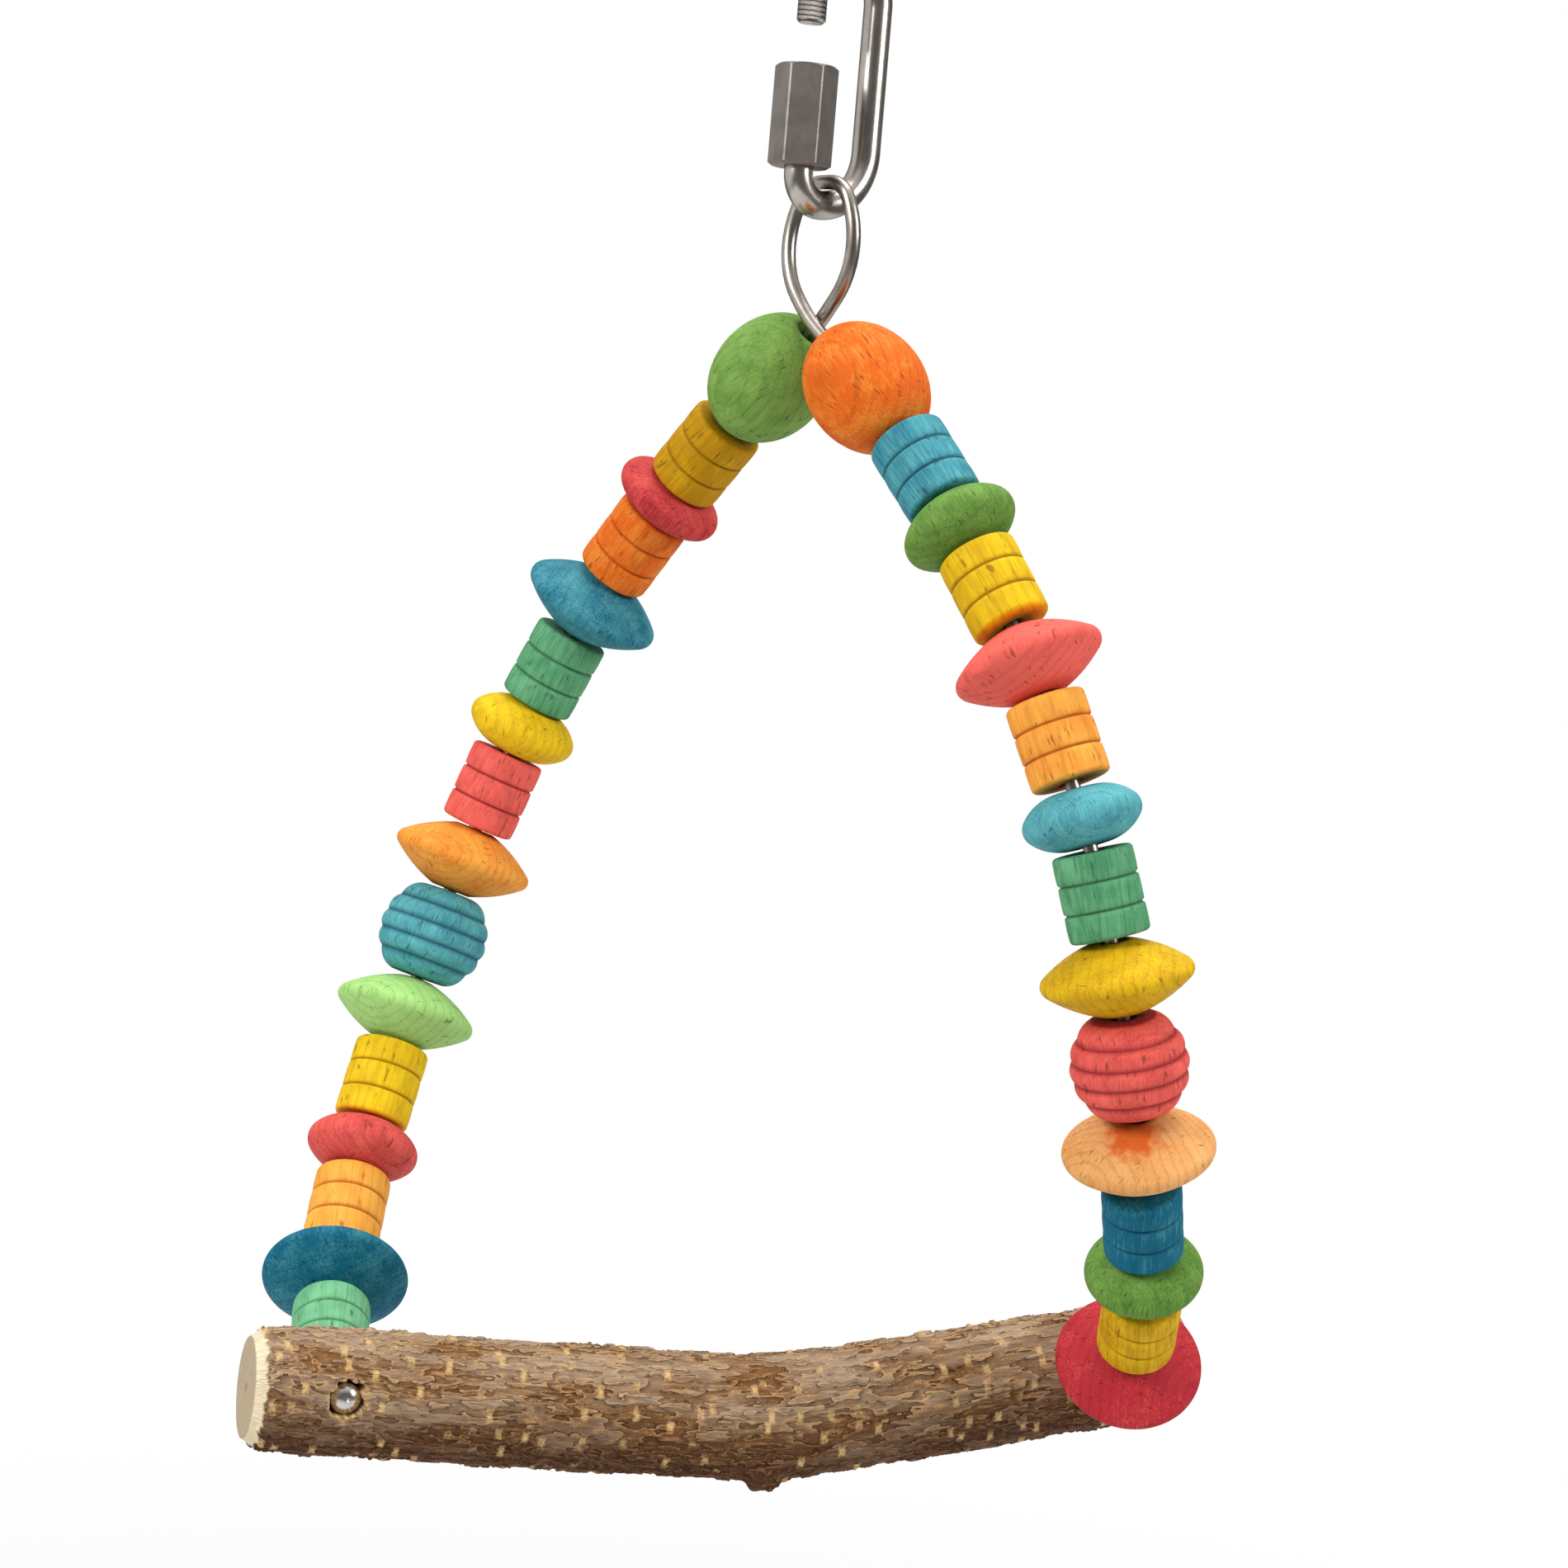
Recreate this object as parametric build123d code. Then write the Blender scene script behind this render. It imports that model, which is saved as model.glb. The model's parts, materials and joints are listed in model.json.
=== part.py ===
from build123d import *
import math
import os

os.makedirs("parts", exist_ok=True)

# Millimetres, +Z up. The origin is where a hook bears inside the top bend of the quick link,
# and X runs along the perch.

# Quick link: a bent rod with a gap in one side. The sleeve nut rests on the long stub below the gap,
# and run up it bridges the gap and grips the short end above.
ROD_DIA = 6.0
ROD_END_BEVEL = 0.6
LINK_TURN_DEG = 27.0
LINK_TOP_RADIUS = 9.2
LINK_NUT_FOOT_RADIUS = 6.0
LINK_SPINE_FOOT_RADIUS = 12.4
LINK_STUB = 19.5
LINK_GAP = 10.6
NUT_ACROSS_FLATS = 11.5
NUT_LENGTH = 20.6
NUT_TURN_DEG = 17.0
NUT_CHAMFER = 0.6
NUT_EDGE_RADIUS = 0.8
NUT_THREAD_PLAY = 0.15
NUT_SEAT_GAP = 0.9
NUT_GRIP = 5.5
NUT_TOP_GAP = 0.6

# Hanger wire: one length bent to an eye with crossed legs and two bowed arms.
WIRE_DIA = 3.0
EYE_ALONG_LINK = -1.3
EYE_REST_GAP = 0.3
EYE_TURN_DEG = -62.0
EYE_TOP_HALF = 5.4
EYE_SIDE_HALF = 11.6
EYE_SIDE_DROP = 15.5
EYE_CROSS_DROP = 28.5
EYE_TOP_RADIUS = 6.0
EYE_SIDE_RADIUS = 18.0
EYE_CROSS_RADIUS = 36.0
LEG_CLEARANCE = 0.4
BEND_SHARE = 0.46
HOOK_RADIUS = 13.0

# Corners of each arm from where the wire crosses itself down to the perch, before the arm is drawn out
# to hold its beads and a bare length of wire.
RIGHT_ARM = [
    (11.0, -23.5, -19.0),
    (32.0, -53.0, -60.0),
    (48.0, -67.5, -106.5),
    (61.5, -65.0, -157.5),
    (75.0, -41.5, -195.0),
    (80.4, -18.4, -215.1),
]
LEFT_ARM = [
    (-10.5, 23.5, -22.0),
    (-30.5, 50.5, -60.0),
    (-48.0, 61.0, -105.5),
    (-64.0, 58.5, -157.5),
    (-76.5, 39.5, -198.5),
    (-82.4, 6.8, -222.5),
]
RIGHT_BARE_WIRE = 19.3
LEFT_BARE_WIRE = 14.4

# Perch: a cut branch, bent in the middle, with a stub of a side twig underneath. Its left end and its
# bend are measured from the left foot of the wire, and its right end from the right foot, with the
# middle figure to the side of the branch that the wire comes out of.
PERCH_DIA = 26.0
PERCH_LEFT = (-18.4, -1.4, -0.2)
PERCH_BEND = (90.4, 0.6, -4.4)
PERCH_RIGHT = (16.8, 1.2, 4.4)
PERCH_BEND_RADIUS = 200.0
PERCH_END_BEVEL = 1.2
TWIG_X = 6.0
TWIG_FOOT_DIA = 24.0
TWIG_TIP_DIA = 6.0
TWIG_STAND = 3.0
TWIG_FORWARD_DEG = 30.0
WIRE_BORE_DIA = 5.0
CAP_BORE_DIA = 7.0
CAP_BORE_DEPTH = 5.5

# Domed caps pressed on the wire ends inside the perch.
CAP_DIA = 6.2
CAP_LENGTH = 4.2
CAP_DOME_LENGTH = 1.5
CAP_WALL = 0.9
CAP_FIT = 0.02
CAP_DIMPLE_DIA = 1.0
CAP_DIMPLE_DEPTH = 0.4
CAP_FLOOR_GAP = 0.05

# Turned wooden beads: outside diameter, length along the hole, hole diameter.
EGG_DIA = 24.4
EGG_LENGTH = 28.6
EGG_FLAT_DIA = 8.4
EGG_HOLE_DIA = 6.0
BEAD_HOLE_DIA = 4.8
BEAD_FLAT_DIA = 8.4
BARREL_DIA = 16.0
BARREL_LENGTH = 17.2
BARREL_EDGE = 0.9
BARREL_GROOVE_WIDTH = 0.9
BARREL_GROOVE_DEPTH = 0.5
RONDELLE_DIA = 24.0
RONDELLE_LENGTH = 11.4
RONDELLE_RIM_RADIUS = 3.4
RONDELLE_RIM_DEG = 40.0
THIN_RONDELLE_LENGTH = 8.6
THIN_RONDELLE_RIM_RADIUS = 2.6
THIN_RONDELLE_RIM_DEG = 55.0
SAUCER_DIA = 30.5
SAUCER_LENGTH = 14.4
SAUCER_RIM_RADIUS = 2.0
SAUCER_RIM_DEG = 50.0
BALL_DIA = 23.6
BALL_LENGTH = 19.6
BALL_FULL_LENGTH = 23.8
BALL_RIBS = 5
BALL_RIB_DEPTH = 0.6
BEAD_GAP = 0.3
PERCH_BEAD_GAP = 0.4
PERCH_BEAD_STEP = 0.1

# Strings from the perch upwards: kind, colour and any extra play above the bead.
LEFT_STRING = [
    ("barrel", "mint", 0.0),
    ("saucer", "blue", 0.0),
    ("barrel", "orange", 0.0),
    ("rondelle", "red", 0.0),
    ("barrel", "yellow", 0.0),
    ("saucer", "lime", 0.0),
    ("ball", "blue", 0.0),
    ("saucer", "orange", 0.0),
    ("barrel", "red", 0.0),
    ("rondelle", "yellow", 0.0),
    ("barrel", "mint", 0.0),
    ("saucer", "blue", 0.0),
    ("barrel", "orange", 0.0),
    ("thin_rondelle", "red", 0.0),
    ("barrel", "yellow", 0.0),
    ("egg", "green", 0.0),
]
RIGHT_STRING = [
    ("saucer", "red", 0.0),
    ("barrel", "yellow", 0.0),
    ("rondelle", "green", 0.0),
    ("barrel", "blue", 0.0),
    ("saucer", "amber", 0.0),
    ("ball", "red", 0.0),
    ("saucer", "yellow", 0.0),
    ("barrel", "mint", 0.2),
    ("rondelle", "blue", 0.8),
    ("barrel", "orange", 0.0),
    ("saucer", "red", 0.3),
    ("barrel", "yellow", 0.0),
    ("rondelle", "green", 0.0),
    ("barrel", "blue", 0.0),
    ("egg", "orange", 0.0),
]

BEAD_LENGTHS = {
    "egg": EGG_LENGTH,
    "barrel": BARREL_LENGTH,
    "rondelle": RONDELLE_LENGTH,
    "thin_rondelle": THIN_RONDELLE_LENGTH,
    "saucer": SAUCER_LENGTH,
    "ball": BALL_LENGTH,
}

ROD_R = ROD_DIA / 2
WIRE_R = WIRE_DIA / 2
LINK_SIDE = LINK_STUB + LINK_GAP + NUT_GRIP + NUT_TOP_GAP
LINK_FOOT_Z = ROD_R - LINK_TOP_RADIUS - LINK_SIDE - LINK_NUT_FOOT_RADIUS
STUB_FOOT_Z = LINK_FOOT_Z + LINK_NUT_FOOT_RADIUS
EYE_PAST_FOOT = EYE_ALONG_LINK + LINK_TOP_RADIUS - LINK_NUT_FOOT_RADIUS
EYE_RISE = LINK_SPINE_FOOT_RADIUS - math.sqrt(LINK_SPINE_FOOT_RADIUS**2 - EYE_PAST_FOOT**2)
SWING_AXIS_Z = LINK_FOOT_Z + EYE_RISE
EYE_TOP_Z = SWING_AXIS_Z + ROD_R + WIRE_R + EYE_REST_GAP
NUT_LOW_Z = STUB_FOOT_Z + NUT_SEAT_GAP
NUT_TRAVEL = LINK_STUB + LINK_GAP + NUT_GRIP - NUT_SEAT_GAP - NUT_LENGTH


def bent_path(corners, radii):
    """A path of straight runs with a tangent arc at every inner corner."""
    edges = []
    here = corners[0]
    for before, corner, after, radius in zip(corners, corners[1:], corners[2:], radii):
        back = (before - corner).normalized()
        ahead = (after - corner).normalized()
        half = (math.pi - math.radians(back.get_angle(ahead))) / 2
        reach = radius * math.tan(half)
        start = corner + back * reach
        finish = corner + ahead * reach
        middle = corner + (back + ahead).normalized() * radius * (1 / math.cos(half) - 1)
        if (start - here).length > 1e-6:
            edges.append(Edge.make_line(here, start))
        edges.append(Edge.make_three_point_arc(start, middle, finish))
        here = finish
    edges.append(Edge.make_line(here, corners[-1]))
    return Wire(edges)


def widest_bend(before, corner, after):
    """The largest bend radius whose tangent points share the two runs with the next corners."""
    back = before - corner
    ahead = after - corner
    half = (math.pi - math.radians(back.get_angle(ahead))) / 2
    return BEND_SHARE * min(back.length, ahead.length) / math.tan(half)


def round_bar(path, diameter):
    start = Plane(origin=path @ 0, z_dir=path % 0)
    return sweep(start * Circle(diameter / 2), path=path)


def turned(outline):
    """A solid turned from a face drawn as radius across and height up."""
    return revolve(Plane.XZ * outline, Axis.Z)


def drawn_out(arm, crossing, string, bare_wire):
    """Corners of an arm that runs from the crossing, as long as its beads and bare wire."""
    corners = [Vector(0, 0, 0)] + [Vector(*corner) for corner in arm]
    drawn = sum((after - before).length for before, after in zip(corners, corners[1:]))
    beads = sum(BEAD_LENGTHS[kind] + BEAD_GAP + play for kind, colour, play in string)
    return [crossing + corner * ((beads + bare_wire) / drawn) for corner in corners[1:]]


# Quick link
nut_x = -LINK_TOP_RADIUS
spine_x = LINK_TOP_RADIUS
link_corners = [
    Vector(nut_x, 0, STUB_FOOT_Z + LINK_STUB),
    Vector(nut_x, 0, LINK_FOOT_Z),
    Vector(spine_x, 0, LINK_FOOT_Z),
    Vector(spine_x, 0, ROD_R),
    Vector(nut_x, 0, ROD_R),
    Vector(nut_x, 0, STUB_FOOT_Z + LINK_STUB + LINK_GAP),
]
link_radii = [LINK_NUT_FOOT_RADIUS, LINK_SPINE_FOOT_RADIUS, LINK_TOP_RADIUS, LINK_TOP_RADIUS]
link_turn = Rot(0, 0, LINK_TURN_DEG)
link_rod = round_bar(bent_path(link_corners, link_radii), ROD_DIA)
for end in (link_corners[0], link_corners[-1]):
    link_rod = chamfer(link_rod.edges().filter_by(GeomType.CIRCLE).sort_by_distance(end)[0], ROD_END_BEVEL)
quick_link = link_turn * link_rod

nut_blank = extrude(RegularPolygon(NUT_ACROSS_FLATS / 2, 6, major_radius=False), NUT_LENGTH)
nut_blank = fillet(nut_blank.edges().filter_by(Axis.Z), NUT_EDGE_RADIUS)
nut_cone = turned(make_face(Polyline(
    (0, 0),
    (NUT_ACROSS_FLATS / 2, 0),
    (NUT_ACROSS_FLATS / math.sqrt(3), NUT_CHAMFER),
    (NUT_ACROSS_FLATS / math.sqrt(3), NUT_LENGTH - NUT_CHAMFER),
    (NUT_ACROSS_FLATS / 2, NUT_LENGTH),
    (0, NUT_LENGTH),
    close=True,
)))
nut_bore = Pos(0, 0, NUT_LENGTH / 2) * Cylinder(ROD_R + NUT_THREAD_PLAY, NUT_LENGTH * 2)
link_nut = (nut_blank & nut_cone) - nut_bore
link_nut = link_turn * Pos(nut_x, 0, NUT_LOW_Z) * Rot(0, 0, NUT_TURN_DEG) * link_nut

# Hanger wire
link_along = Vector(1, 0, 0).rotate(Axis.Z, LINK_TURN_DEG)
eye_top = link_along * EYE_ALONG_LINK + Vector(0, 0, EYE_TOP_Z)
eye_turn = math.radians(EYE_TURN_DEG)
eye_across = Vector(math.cos(eye_turn), math.sin(eye_turn), 0)
eye_normal = Vector(-math.sin(eye_turn), math.cos(eye_turn), 0)
leg_offset = (WIRE_DIA + LEG_CLEARANCE) / 2
drop = Vector(0, 0, -1)
crossing = eye_top + drop * EYE_CROSS_DROP
cross_right = crossing - eye_normal * leg_offset
cross_left = crossing + eye_normal * leg_offset
side_right = eye_top + drop * EYE_SIDE_DROP - eye_across * EYE_SIDE_HALF - eye_normal * leg_offset / 2
side_left = eye_top + drop * EYE_SIDE_DROP + eye_across * EYE_SIDE_HALF + eye_normal * leg_offset / 2
top_right = eye_top - eye_across * EYE_TOP_HALF
top_left = eye_top + eye_across * EYE_TOP_HALF
right_arm = drawn_out(RIGHT_ARM, crossing, RIGHT_STRING, RIGHT_BARE_WIRE)
left_arm = drawn_out(LEFT_ARM, crossing, LEFT_STRING, LEFT_BARE_WIRE)
right_foot = right_arm[-1]
left_foot = left_arm[-1]

PERCH_R = PERCH_DIA / 2
perch_left = left_foot + Vector(*PERCH_LEFT) - Vector(0, PERCH_R, 0)
perch_bend = left_foot + Vector(*PERCH_BEND) - Vector(0, PERCH_R, 0)
perch_right = right_foot + Vector(*PERCH_RIGHT) + Vector(0, PERCH_R, 0)
perch_path = bent_path([perch_left, perch_bend, perch_right], [PERCH_BEND_RADIUS])


def perch_centre(x):
    """The point of the branch's centreline at a place along X."""
    section = perch_path.intersect(Plane(origin=(x, 0, 0), z_dir=(1, 0, 0)))
    return section[0].center() if section else None


left_face_y = perch_centre(left_foot.X).Y - PERCH_R
right_face_y = perch_centre(right_foot.X).Y + PERCH_R
left_tip = Vector(left_foot.X, left_face_y + CAP_BORE_DEPTH - CAP_LENGTH + CAP_WALL, left_foot.Z)
right_tip = Vector(right_foot.X, right_face_y - CAP_BORE_DEPTH + CAP_LENGTH - CAP_WALL, right_foot.Z)

corners = [left_tip] + left_arm[::-1] + [cross_left, side_left, top_left]
corners += [top_right, side_right, cross_right] + right_arm + [right_tip]
radii = [widest_bend(*three) for three in zip(corners, corners[1:], corners[2:])]
eye_start = len(left_arm)
eye_radii = [EYE_CROSS_RADIUS, EYE_SIDE_RADIUS, EYE_TOP_RADIUS]
radii[eye_start:eye_start + 6] = eye_radii + eye_radii[::-1]
radii[0] = HOOK_RADIUS
radii[-1] = HOOK_RADIUS
wire_path = bent_path(corners, radii)
hanger_wire = round_bar(wire_path, WIRE_DIA)

# Perch
branch = round_bar(perch_path, PERCH_DIA)
branch = chamfer(branch.edges().filter_by(GeomType.CIRCLE).group_by(Axis.X)[0], PERCH_END_BEVEL)
branch = chamfer(branch.edges().filter_by(GeomType.CIRCLE).group_by(Axis.X)[-1], PERCH_END_BEVEL)
twig_root = perch_centre(TWIG_X)
twig_length = PERCH_R + TWIG_STAND
twig = Cone(TWIG_FOOT_DIA / 2, TWIG_TIP_DIA / 2, twig_length, align=(Align.CENTER, Align.CENTER, Align.MIN))
twig = Pos(*twig_root) * Rot(180 - TWIG_FORWARD_DEG, 0, 0) * twig
branch += twig
across = Rot(90, 0, 0)
for foot, face_y in ((left_foot, left_face_y), (right_foot, right_face_y)):
    branch -= Pos(foot.X, face_y, foot.Z) * across * Cylinder(WIRE_BORE_DIA / 2, PERCH_DIA * 4)
    branch -= Pos(foot.X, face_y, foot.Z) * across * Cylinder(CAP_BORE_DIA / 2, CAP_BORE_DEPTH * 2)
perch = branch

# Caps on the wire ends
cap_shoulder = (CAP_DIA / 2, CAP_LENGTH - CAP_DOME_LENGTH)
cap_crown = (CAP_DIMPLE_DIA / 2, CAP_LENGTH)
cap_sleeve = Polyline((WIRE_R + CAP_FIT, 0), (CAP_DIA / 2, 0), cap_shoulder)
cap_dome = ThreePointArc(cap_shoulder, (CAP_DIA * 0.33, CAP_LENGTH - CAP_DOME_LENGTH * 0.3), cap_crown)
cap_inside = Polyline(
    cap_crown,
    (0, CAP_LENGTH - CAP_DIMPLE_DEPTH),
    (0, CAP_LENGTH - CAP_WALL + CAP_FLOOR_GAP),
    (WIRE_R + CAP_FIT, CAP_LENGTH - CAP_WALL + CAP_FLOOR_GAP),
    (WIRE_R + CAP_FIT, 0),
)
cap_outline = make_face([*cap_sleeve.edges(), cap_dome, *cap_inside.edges()])
cap = turned(cap_outline)
left_seat = Vector(left_foot.X, left_face_y + CAP_BORE_DEPTH - CAP_FLOOR_GAP, left_foot.Z)
right_seat = Vector(right_foot.X, right_face_y - CAP_BORE_DEPTH + CAP_FLOOR_GAP, right_foot.Z)
left_cap = Plane(origin=left_seat, z_dir=(0, -1, 0)) * cap
right_cap = Plane(origin=right_seat, z_dir=(0, 1, 0)) * cap


def egg():
    """An oval bead, whose two ends are cut flat round the hole."""
    end = EGG_LENGTH / 2
    hole = EGG_HOLE_DIA / 2
    flat = EGG_FLAT_DIA / 2
    inside = Polyline((flat, end), (hole, end), (hole, -end), (flat, -end))
    turn = math.acos(flat / (EGG_DIA / 2))
    half_height = end / math.sin(turn)
    side = EllipticalCenterArc(
        (0, 0), EGG_DIA / 2, half_height, start_angle=-math.degrees(turn), arc_size=2 * math.degrees(turn))
    return turned(make_face([side, *inside.edges()]))


def lens(diameter, length, rim_radius, rim_deg):
    """A bead with domed faces running into a rounded rim, flat round the hole."""
    end = length / 2
    hole = BEAD_HOLE_DIA / 2
    flat = BEAD_FLAT_DIA / 2
    sine = math.sin(math.radians(rim_deg))
    cosine = math.cos(math.radians(rim_deg))
    rim = (diameter / 2 - rim_radius * (1 - cosine), rim_radius * sine)
    low_rim = (rim[0], -rim[1])
    inside = Polyline((flat, end), (hole, end), (hole, -end), (flat, -end))
    return turned(make_face([
        ThreePointArc(low_rim, (diameter / 2, 0), rim),
        TangentArc(rim, (flat, end), tangent=(-sine, cosine)),
        *inside.edges(),
        TangentArc(low_rim, (flat, -end), tangent=(-sine, -cosine)),
    ]))


def barrel():
    outer = BARREL_DIA / 2
    end = BARREL_LENGTH / 2
    hole = BEAD_HOLE_DIA / 2
    groove = BARREL_LENGTH / 6
    lip = BARREL_GROOVE_WIDTH / 2
    floor = outer - BARREL_GROOVE_DEPTH
    corner = BARREL_EDGE * (1 - math.sqrt(0.5))
    side = Polyline(
        (outer, -end + BARREL_EDGE),
        (outer, -groove - lip),
        (floor, -groove),
        (outer, -groove + lip),
        (outer, groove - lip),
        (floor, groove),
        (outer, groove + lip),
        (outer, end - BARREL_EDGE),
    )
    top = ThreePointArc(
        (outer, end - BARREL_EDGE), (outer - corner, end - corner), (outer - BARREL_EDGE, end))
    foot = ThreePointArc(
        (outer - BARREL_EDGE, -end), (outer - corner, -end + corner), (outer, -end + BARREL_EDGE))
    inside = Polyline((outer - BARREL_EDGE, end), (hole, end), (hole, -end), (outer - BARREL_EDGE, -end))
    return turned(make_face([foot, *side.edges(), top, *inside.edges()]))


def ball():
    end = BALL_LENGTH / 2
    hole = BEAD_HOLE_DIA / 2
    pitch = BALL_LENGTH / BALL_RIBS

    def crest(z):
        return BALL_DIA / 2 * math.sqrt(1 - (2 * z / BALL_FULL_LENGTH) ** 2)

    valleys = [(crest(-end + pitch * k) - BALL_RIB_DEPTH, -end + pitch * k) for k in range(BALL_RIBS + 1)]
    ribs = []
    for low, high in zip(valleys, valleys[1:]):
        middle = (low[1] + high[1]) / 2
        ribs.append(ThreePointArc(low, (crest(middle), middle), high))
    inside = Polyline(valleys[-1], (hole, end), (hole, -end), valleys[0])
    return turned(make_face([*ribs, *inside.edges()]))


BEAD_SOLIDS = {
    "egg": egg(),
    "barrel": barrel(),
    "rondelle": lens(RONDELLE_DIA, RONDELLE_LENGTH, RONDELLE_RIM_RADIUS, RONDELLE_RIM_DEG),
    "thin_rondelle": lens(
        RONDELLE_DIA, THIN_RONDELLE_LENGTH, THIN_RONDELLE_RIM_RADIUS, THIN_RONDELLE_RIM_DEG),
    "saucer": lens(SAUCER_DIA, SAUCER_LENGTH, SAUCER_RIM_RADIUS, SAUCER_RIM_DEG),
    "ball": ball(),
}


def wire_point(distance, from_right):
    """The wire's centreline at a distance from its left or right tip."""
    along = wire_path.length - distance if from_right else distance
    return wire_path.position_at(along, position_mode=PositionMode.LENGTH)


def wire_heading(distance, from_right):
    """The wire's direction at a distance from its tip, away from that tip."""
    along = wire_path.length - distance if from_right else distance
    heading = wire_path.tangent_at(along, position_mode=PositionMode.LENGTH)
    return -heading if from_right else heading


def on_wire(kind, at, from_right):
    """Centre and axis of a bead whose lower end is at a distance along the wire."""
    low = wire_point(at, from_right)
    middle = wire_point(at + BEAD_LENGTHS[kind] / 2, from_right)
    high = wire_point(at + BEAD_LENGTHS[kind], from_right)
    return middle * 0.5 + (low + high) * 0.25, (high - low).normalized()


def resting_place(kind, from_right):
    """How far along the wire the lowest bead lies clear of the perch."""
    at = PERCH_DIA
    while True:
        centre, axis = on_wire(kind, at, from_right)
        if perch.distance_to(Plane(origin=centre, z_dir=axis) * BEAD_SOLIDS[kind]) >= PERCH_BEAD_GAP:
            return at
        at += PERCH_BEAD_STEP


def thread(side, string, from_right):
    """Beads of one string from the perch upwards, each lying along the wire inside its hole.

    Neighbours meet on the inside of the bend, so their ends open by the turn of the wire.
    """
    beads = []
    at = resting_place(string[0][0], from_right)
    following = [kind for kind, colour, play in string[1:]] + ["egg"]
    for number, ((kind, colour, play), above) in enumerate(zip(string, following), start=1):
        length = BEAD_LENGTHS[kind]
        centre, axis = on_wire(kind, at, from_right)
        solid = Plane(origin=centre, z_dir=axis) * BEAD_SOLIDS[kind]
        beads.append((f"{side}_{number:02d}_{kind}", colour, kind, centre, axis, solid))
        further = wire_heading(at + length + BEAD_LENGTHS[above] / 2, from_right)
        turn = math.radians(axis.get_angle(further))
        at += length + BEAD_GAP + play + BEAD_FLAT_DIA / 2 * math.tan(turn)
    return beads


left_beads = thread("left", LEFT_STRING, False)
right_beads = thread("right", RIGHT_STRING, True)
BEADS = left_beads + right_beads

NODES = {
    "quick_link": quick_link,
    "link_nut": link_nut,
    "hanger_wire": hanger_wire,
    "perch": perch,
    "left_cap": left_cap,
    "right_cap": right_cap,
}
for name, colour, kind, centre, axis, solid in BEADS:
    NODES[name] = solid

for name, solid in NODES.items():
    export_step(solid, f"parts/{name}.step")
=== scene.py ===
import json
import math

import bpy
import numpy as np
from mathutils import Matrix, Vector


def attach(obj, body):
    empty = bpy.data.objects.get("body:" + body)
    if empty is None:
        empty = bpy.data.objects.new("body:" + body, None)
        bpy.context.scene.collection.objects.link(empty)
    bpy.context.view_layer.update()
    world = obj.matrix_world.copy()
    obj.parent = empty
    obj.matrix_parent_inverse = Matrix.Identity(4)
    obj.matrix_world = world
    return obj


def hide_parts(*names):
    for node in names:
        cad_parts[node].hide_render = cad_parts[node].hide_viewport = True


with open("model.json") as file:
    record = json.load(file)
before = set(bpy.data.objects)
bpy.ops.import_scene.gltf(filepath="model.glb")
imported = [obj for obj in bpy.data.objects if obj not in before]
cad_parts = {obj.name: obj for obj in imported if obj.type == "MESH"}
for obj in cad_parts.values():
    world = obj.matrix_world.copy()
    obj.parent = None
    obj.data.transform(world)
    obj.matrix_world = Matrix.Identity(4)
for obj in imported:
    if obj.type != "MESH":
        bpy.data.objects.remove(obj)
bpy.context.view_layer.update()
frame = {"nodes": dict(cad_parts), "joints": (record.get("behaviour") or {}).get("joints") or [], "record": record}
scene = bpy.context.scene
MM = 0.001


# Studio: a pale floor well below the hanging swing, a white surround and three soft lamps. The camera
# stands to the left of the perch's square view and leans a little, as the swing was photographed.
CAMERA_PLACE = Vector((-221.1, -773.8, -139.4)) * MM
CAMERA_LOOK = Vector((0.2755, 0.9607, -0.0349))
CAMERA_UP = Vector((-0.0709, 0.0565, 0.9959))
CAMERA_LENS = 89.4
CAMERA_SENSOR = 36.0
CAMERA_NEAREST = 0.01
WHITE = (1, 1, 1, 1)
SKY_COLOUR = (0.96, 0.98, 1.0, 1)
SKY_HEIGHTS = (-0.5, 0.8)
SKY_LEVELS = (0.10, 0.62)
# Bright panels that the steel mirrors: the way to each, and the cosines where it ends and where it is full.
PANELS = (
    ((-0.96, 0.20, 0.15), 0.60, 0.92),
    ((0.28, 0.96, 0.0), 0.85, 0.97),
    ((0.0, 0.1, 1.0), 0.30, 0.85),
)
PANEL_LEVELS = (0.15, 0.80)
FLOOR_Z = -420 * MM
FLOOR_HALF = 0.55
FLOOR_COLOUR = (0.70, 0.70, 0.70, 1)
SHADOW_REACH = 0.15
FLOOR_WHITE = (0.6, 1.0)
# Name, place, width and power of each lamp. All of them look at the middle of the swing.
LAMPS = (
    ("left_lamp", (-1.10, -0.55, 0.50), 0.6, 13.0),
    ("right_lamp", (0.95, -0.80, 0.35), 0.6, 9.0),
    ("top_lamp", (0.10, 0.05, 0.85), 0.6, 6.0),
)
LAMP_AIM = Vector((0, 0, -0.17))


def place(tree, kind, feeds=None, **settings):
    """Adds a node, sets its options and feeds its inputs from sockets or plain values."""
    made = tree.nodes.new(kind)
    for name, value in settings.items():
        setattr(made, name, value)
    for name, feed in (feeds or {}).items():
        if isinstance(feed, bpy.types.NodeSocket):
            tree.links.new(feed, made.inputs[name])
        else:
            made.inputs[name].default_value = feed
    return made


def number(tree, operation, *feeds):
    return place(tree, "ShaderNodeMath", dict(enumerate(feeds)), operation=operation).outputs[0]


def times(tree, first, second):
    return number(tree, "MULTIPLY", first, second)


def arrow(tree, operation, *feeds):
    """Works on vectors, and gives the number where the operation ends in one."""
    made = place(tree, "ShaderNodeVectorMath", dict(enumerate(feeds)), operation=operation)
    return made.outputs["Value" if operation in ("DOT_PRODUCT", "LENGTH", "DISTANCE") else "Vector"]


def stretched(tree, where, by):
    return arrow(tree, "MULTIPLY", where, by)


def split(tree, vector):
    """A vector's X, Y and Z."""
    return place(tree, "ShaderNodeSeparateXYZ", {0: vector}).outputs


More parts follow.
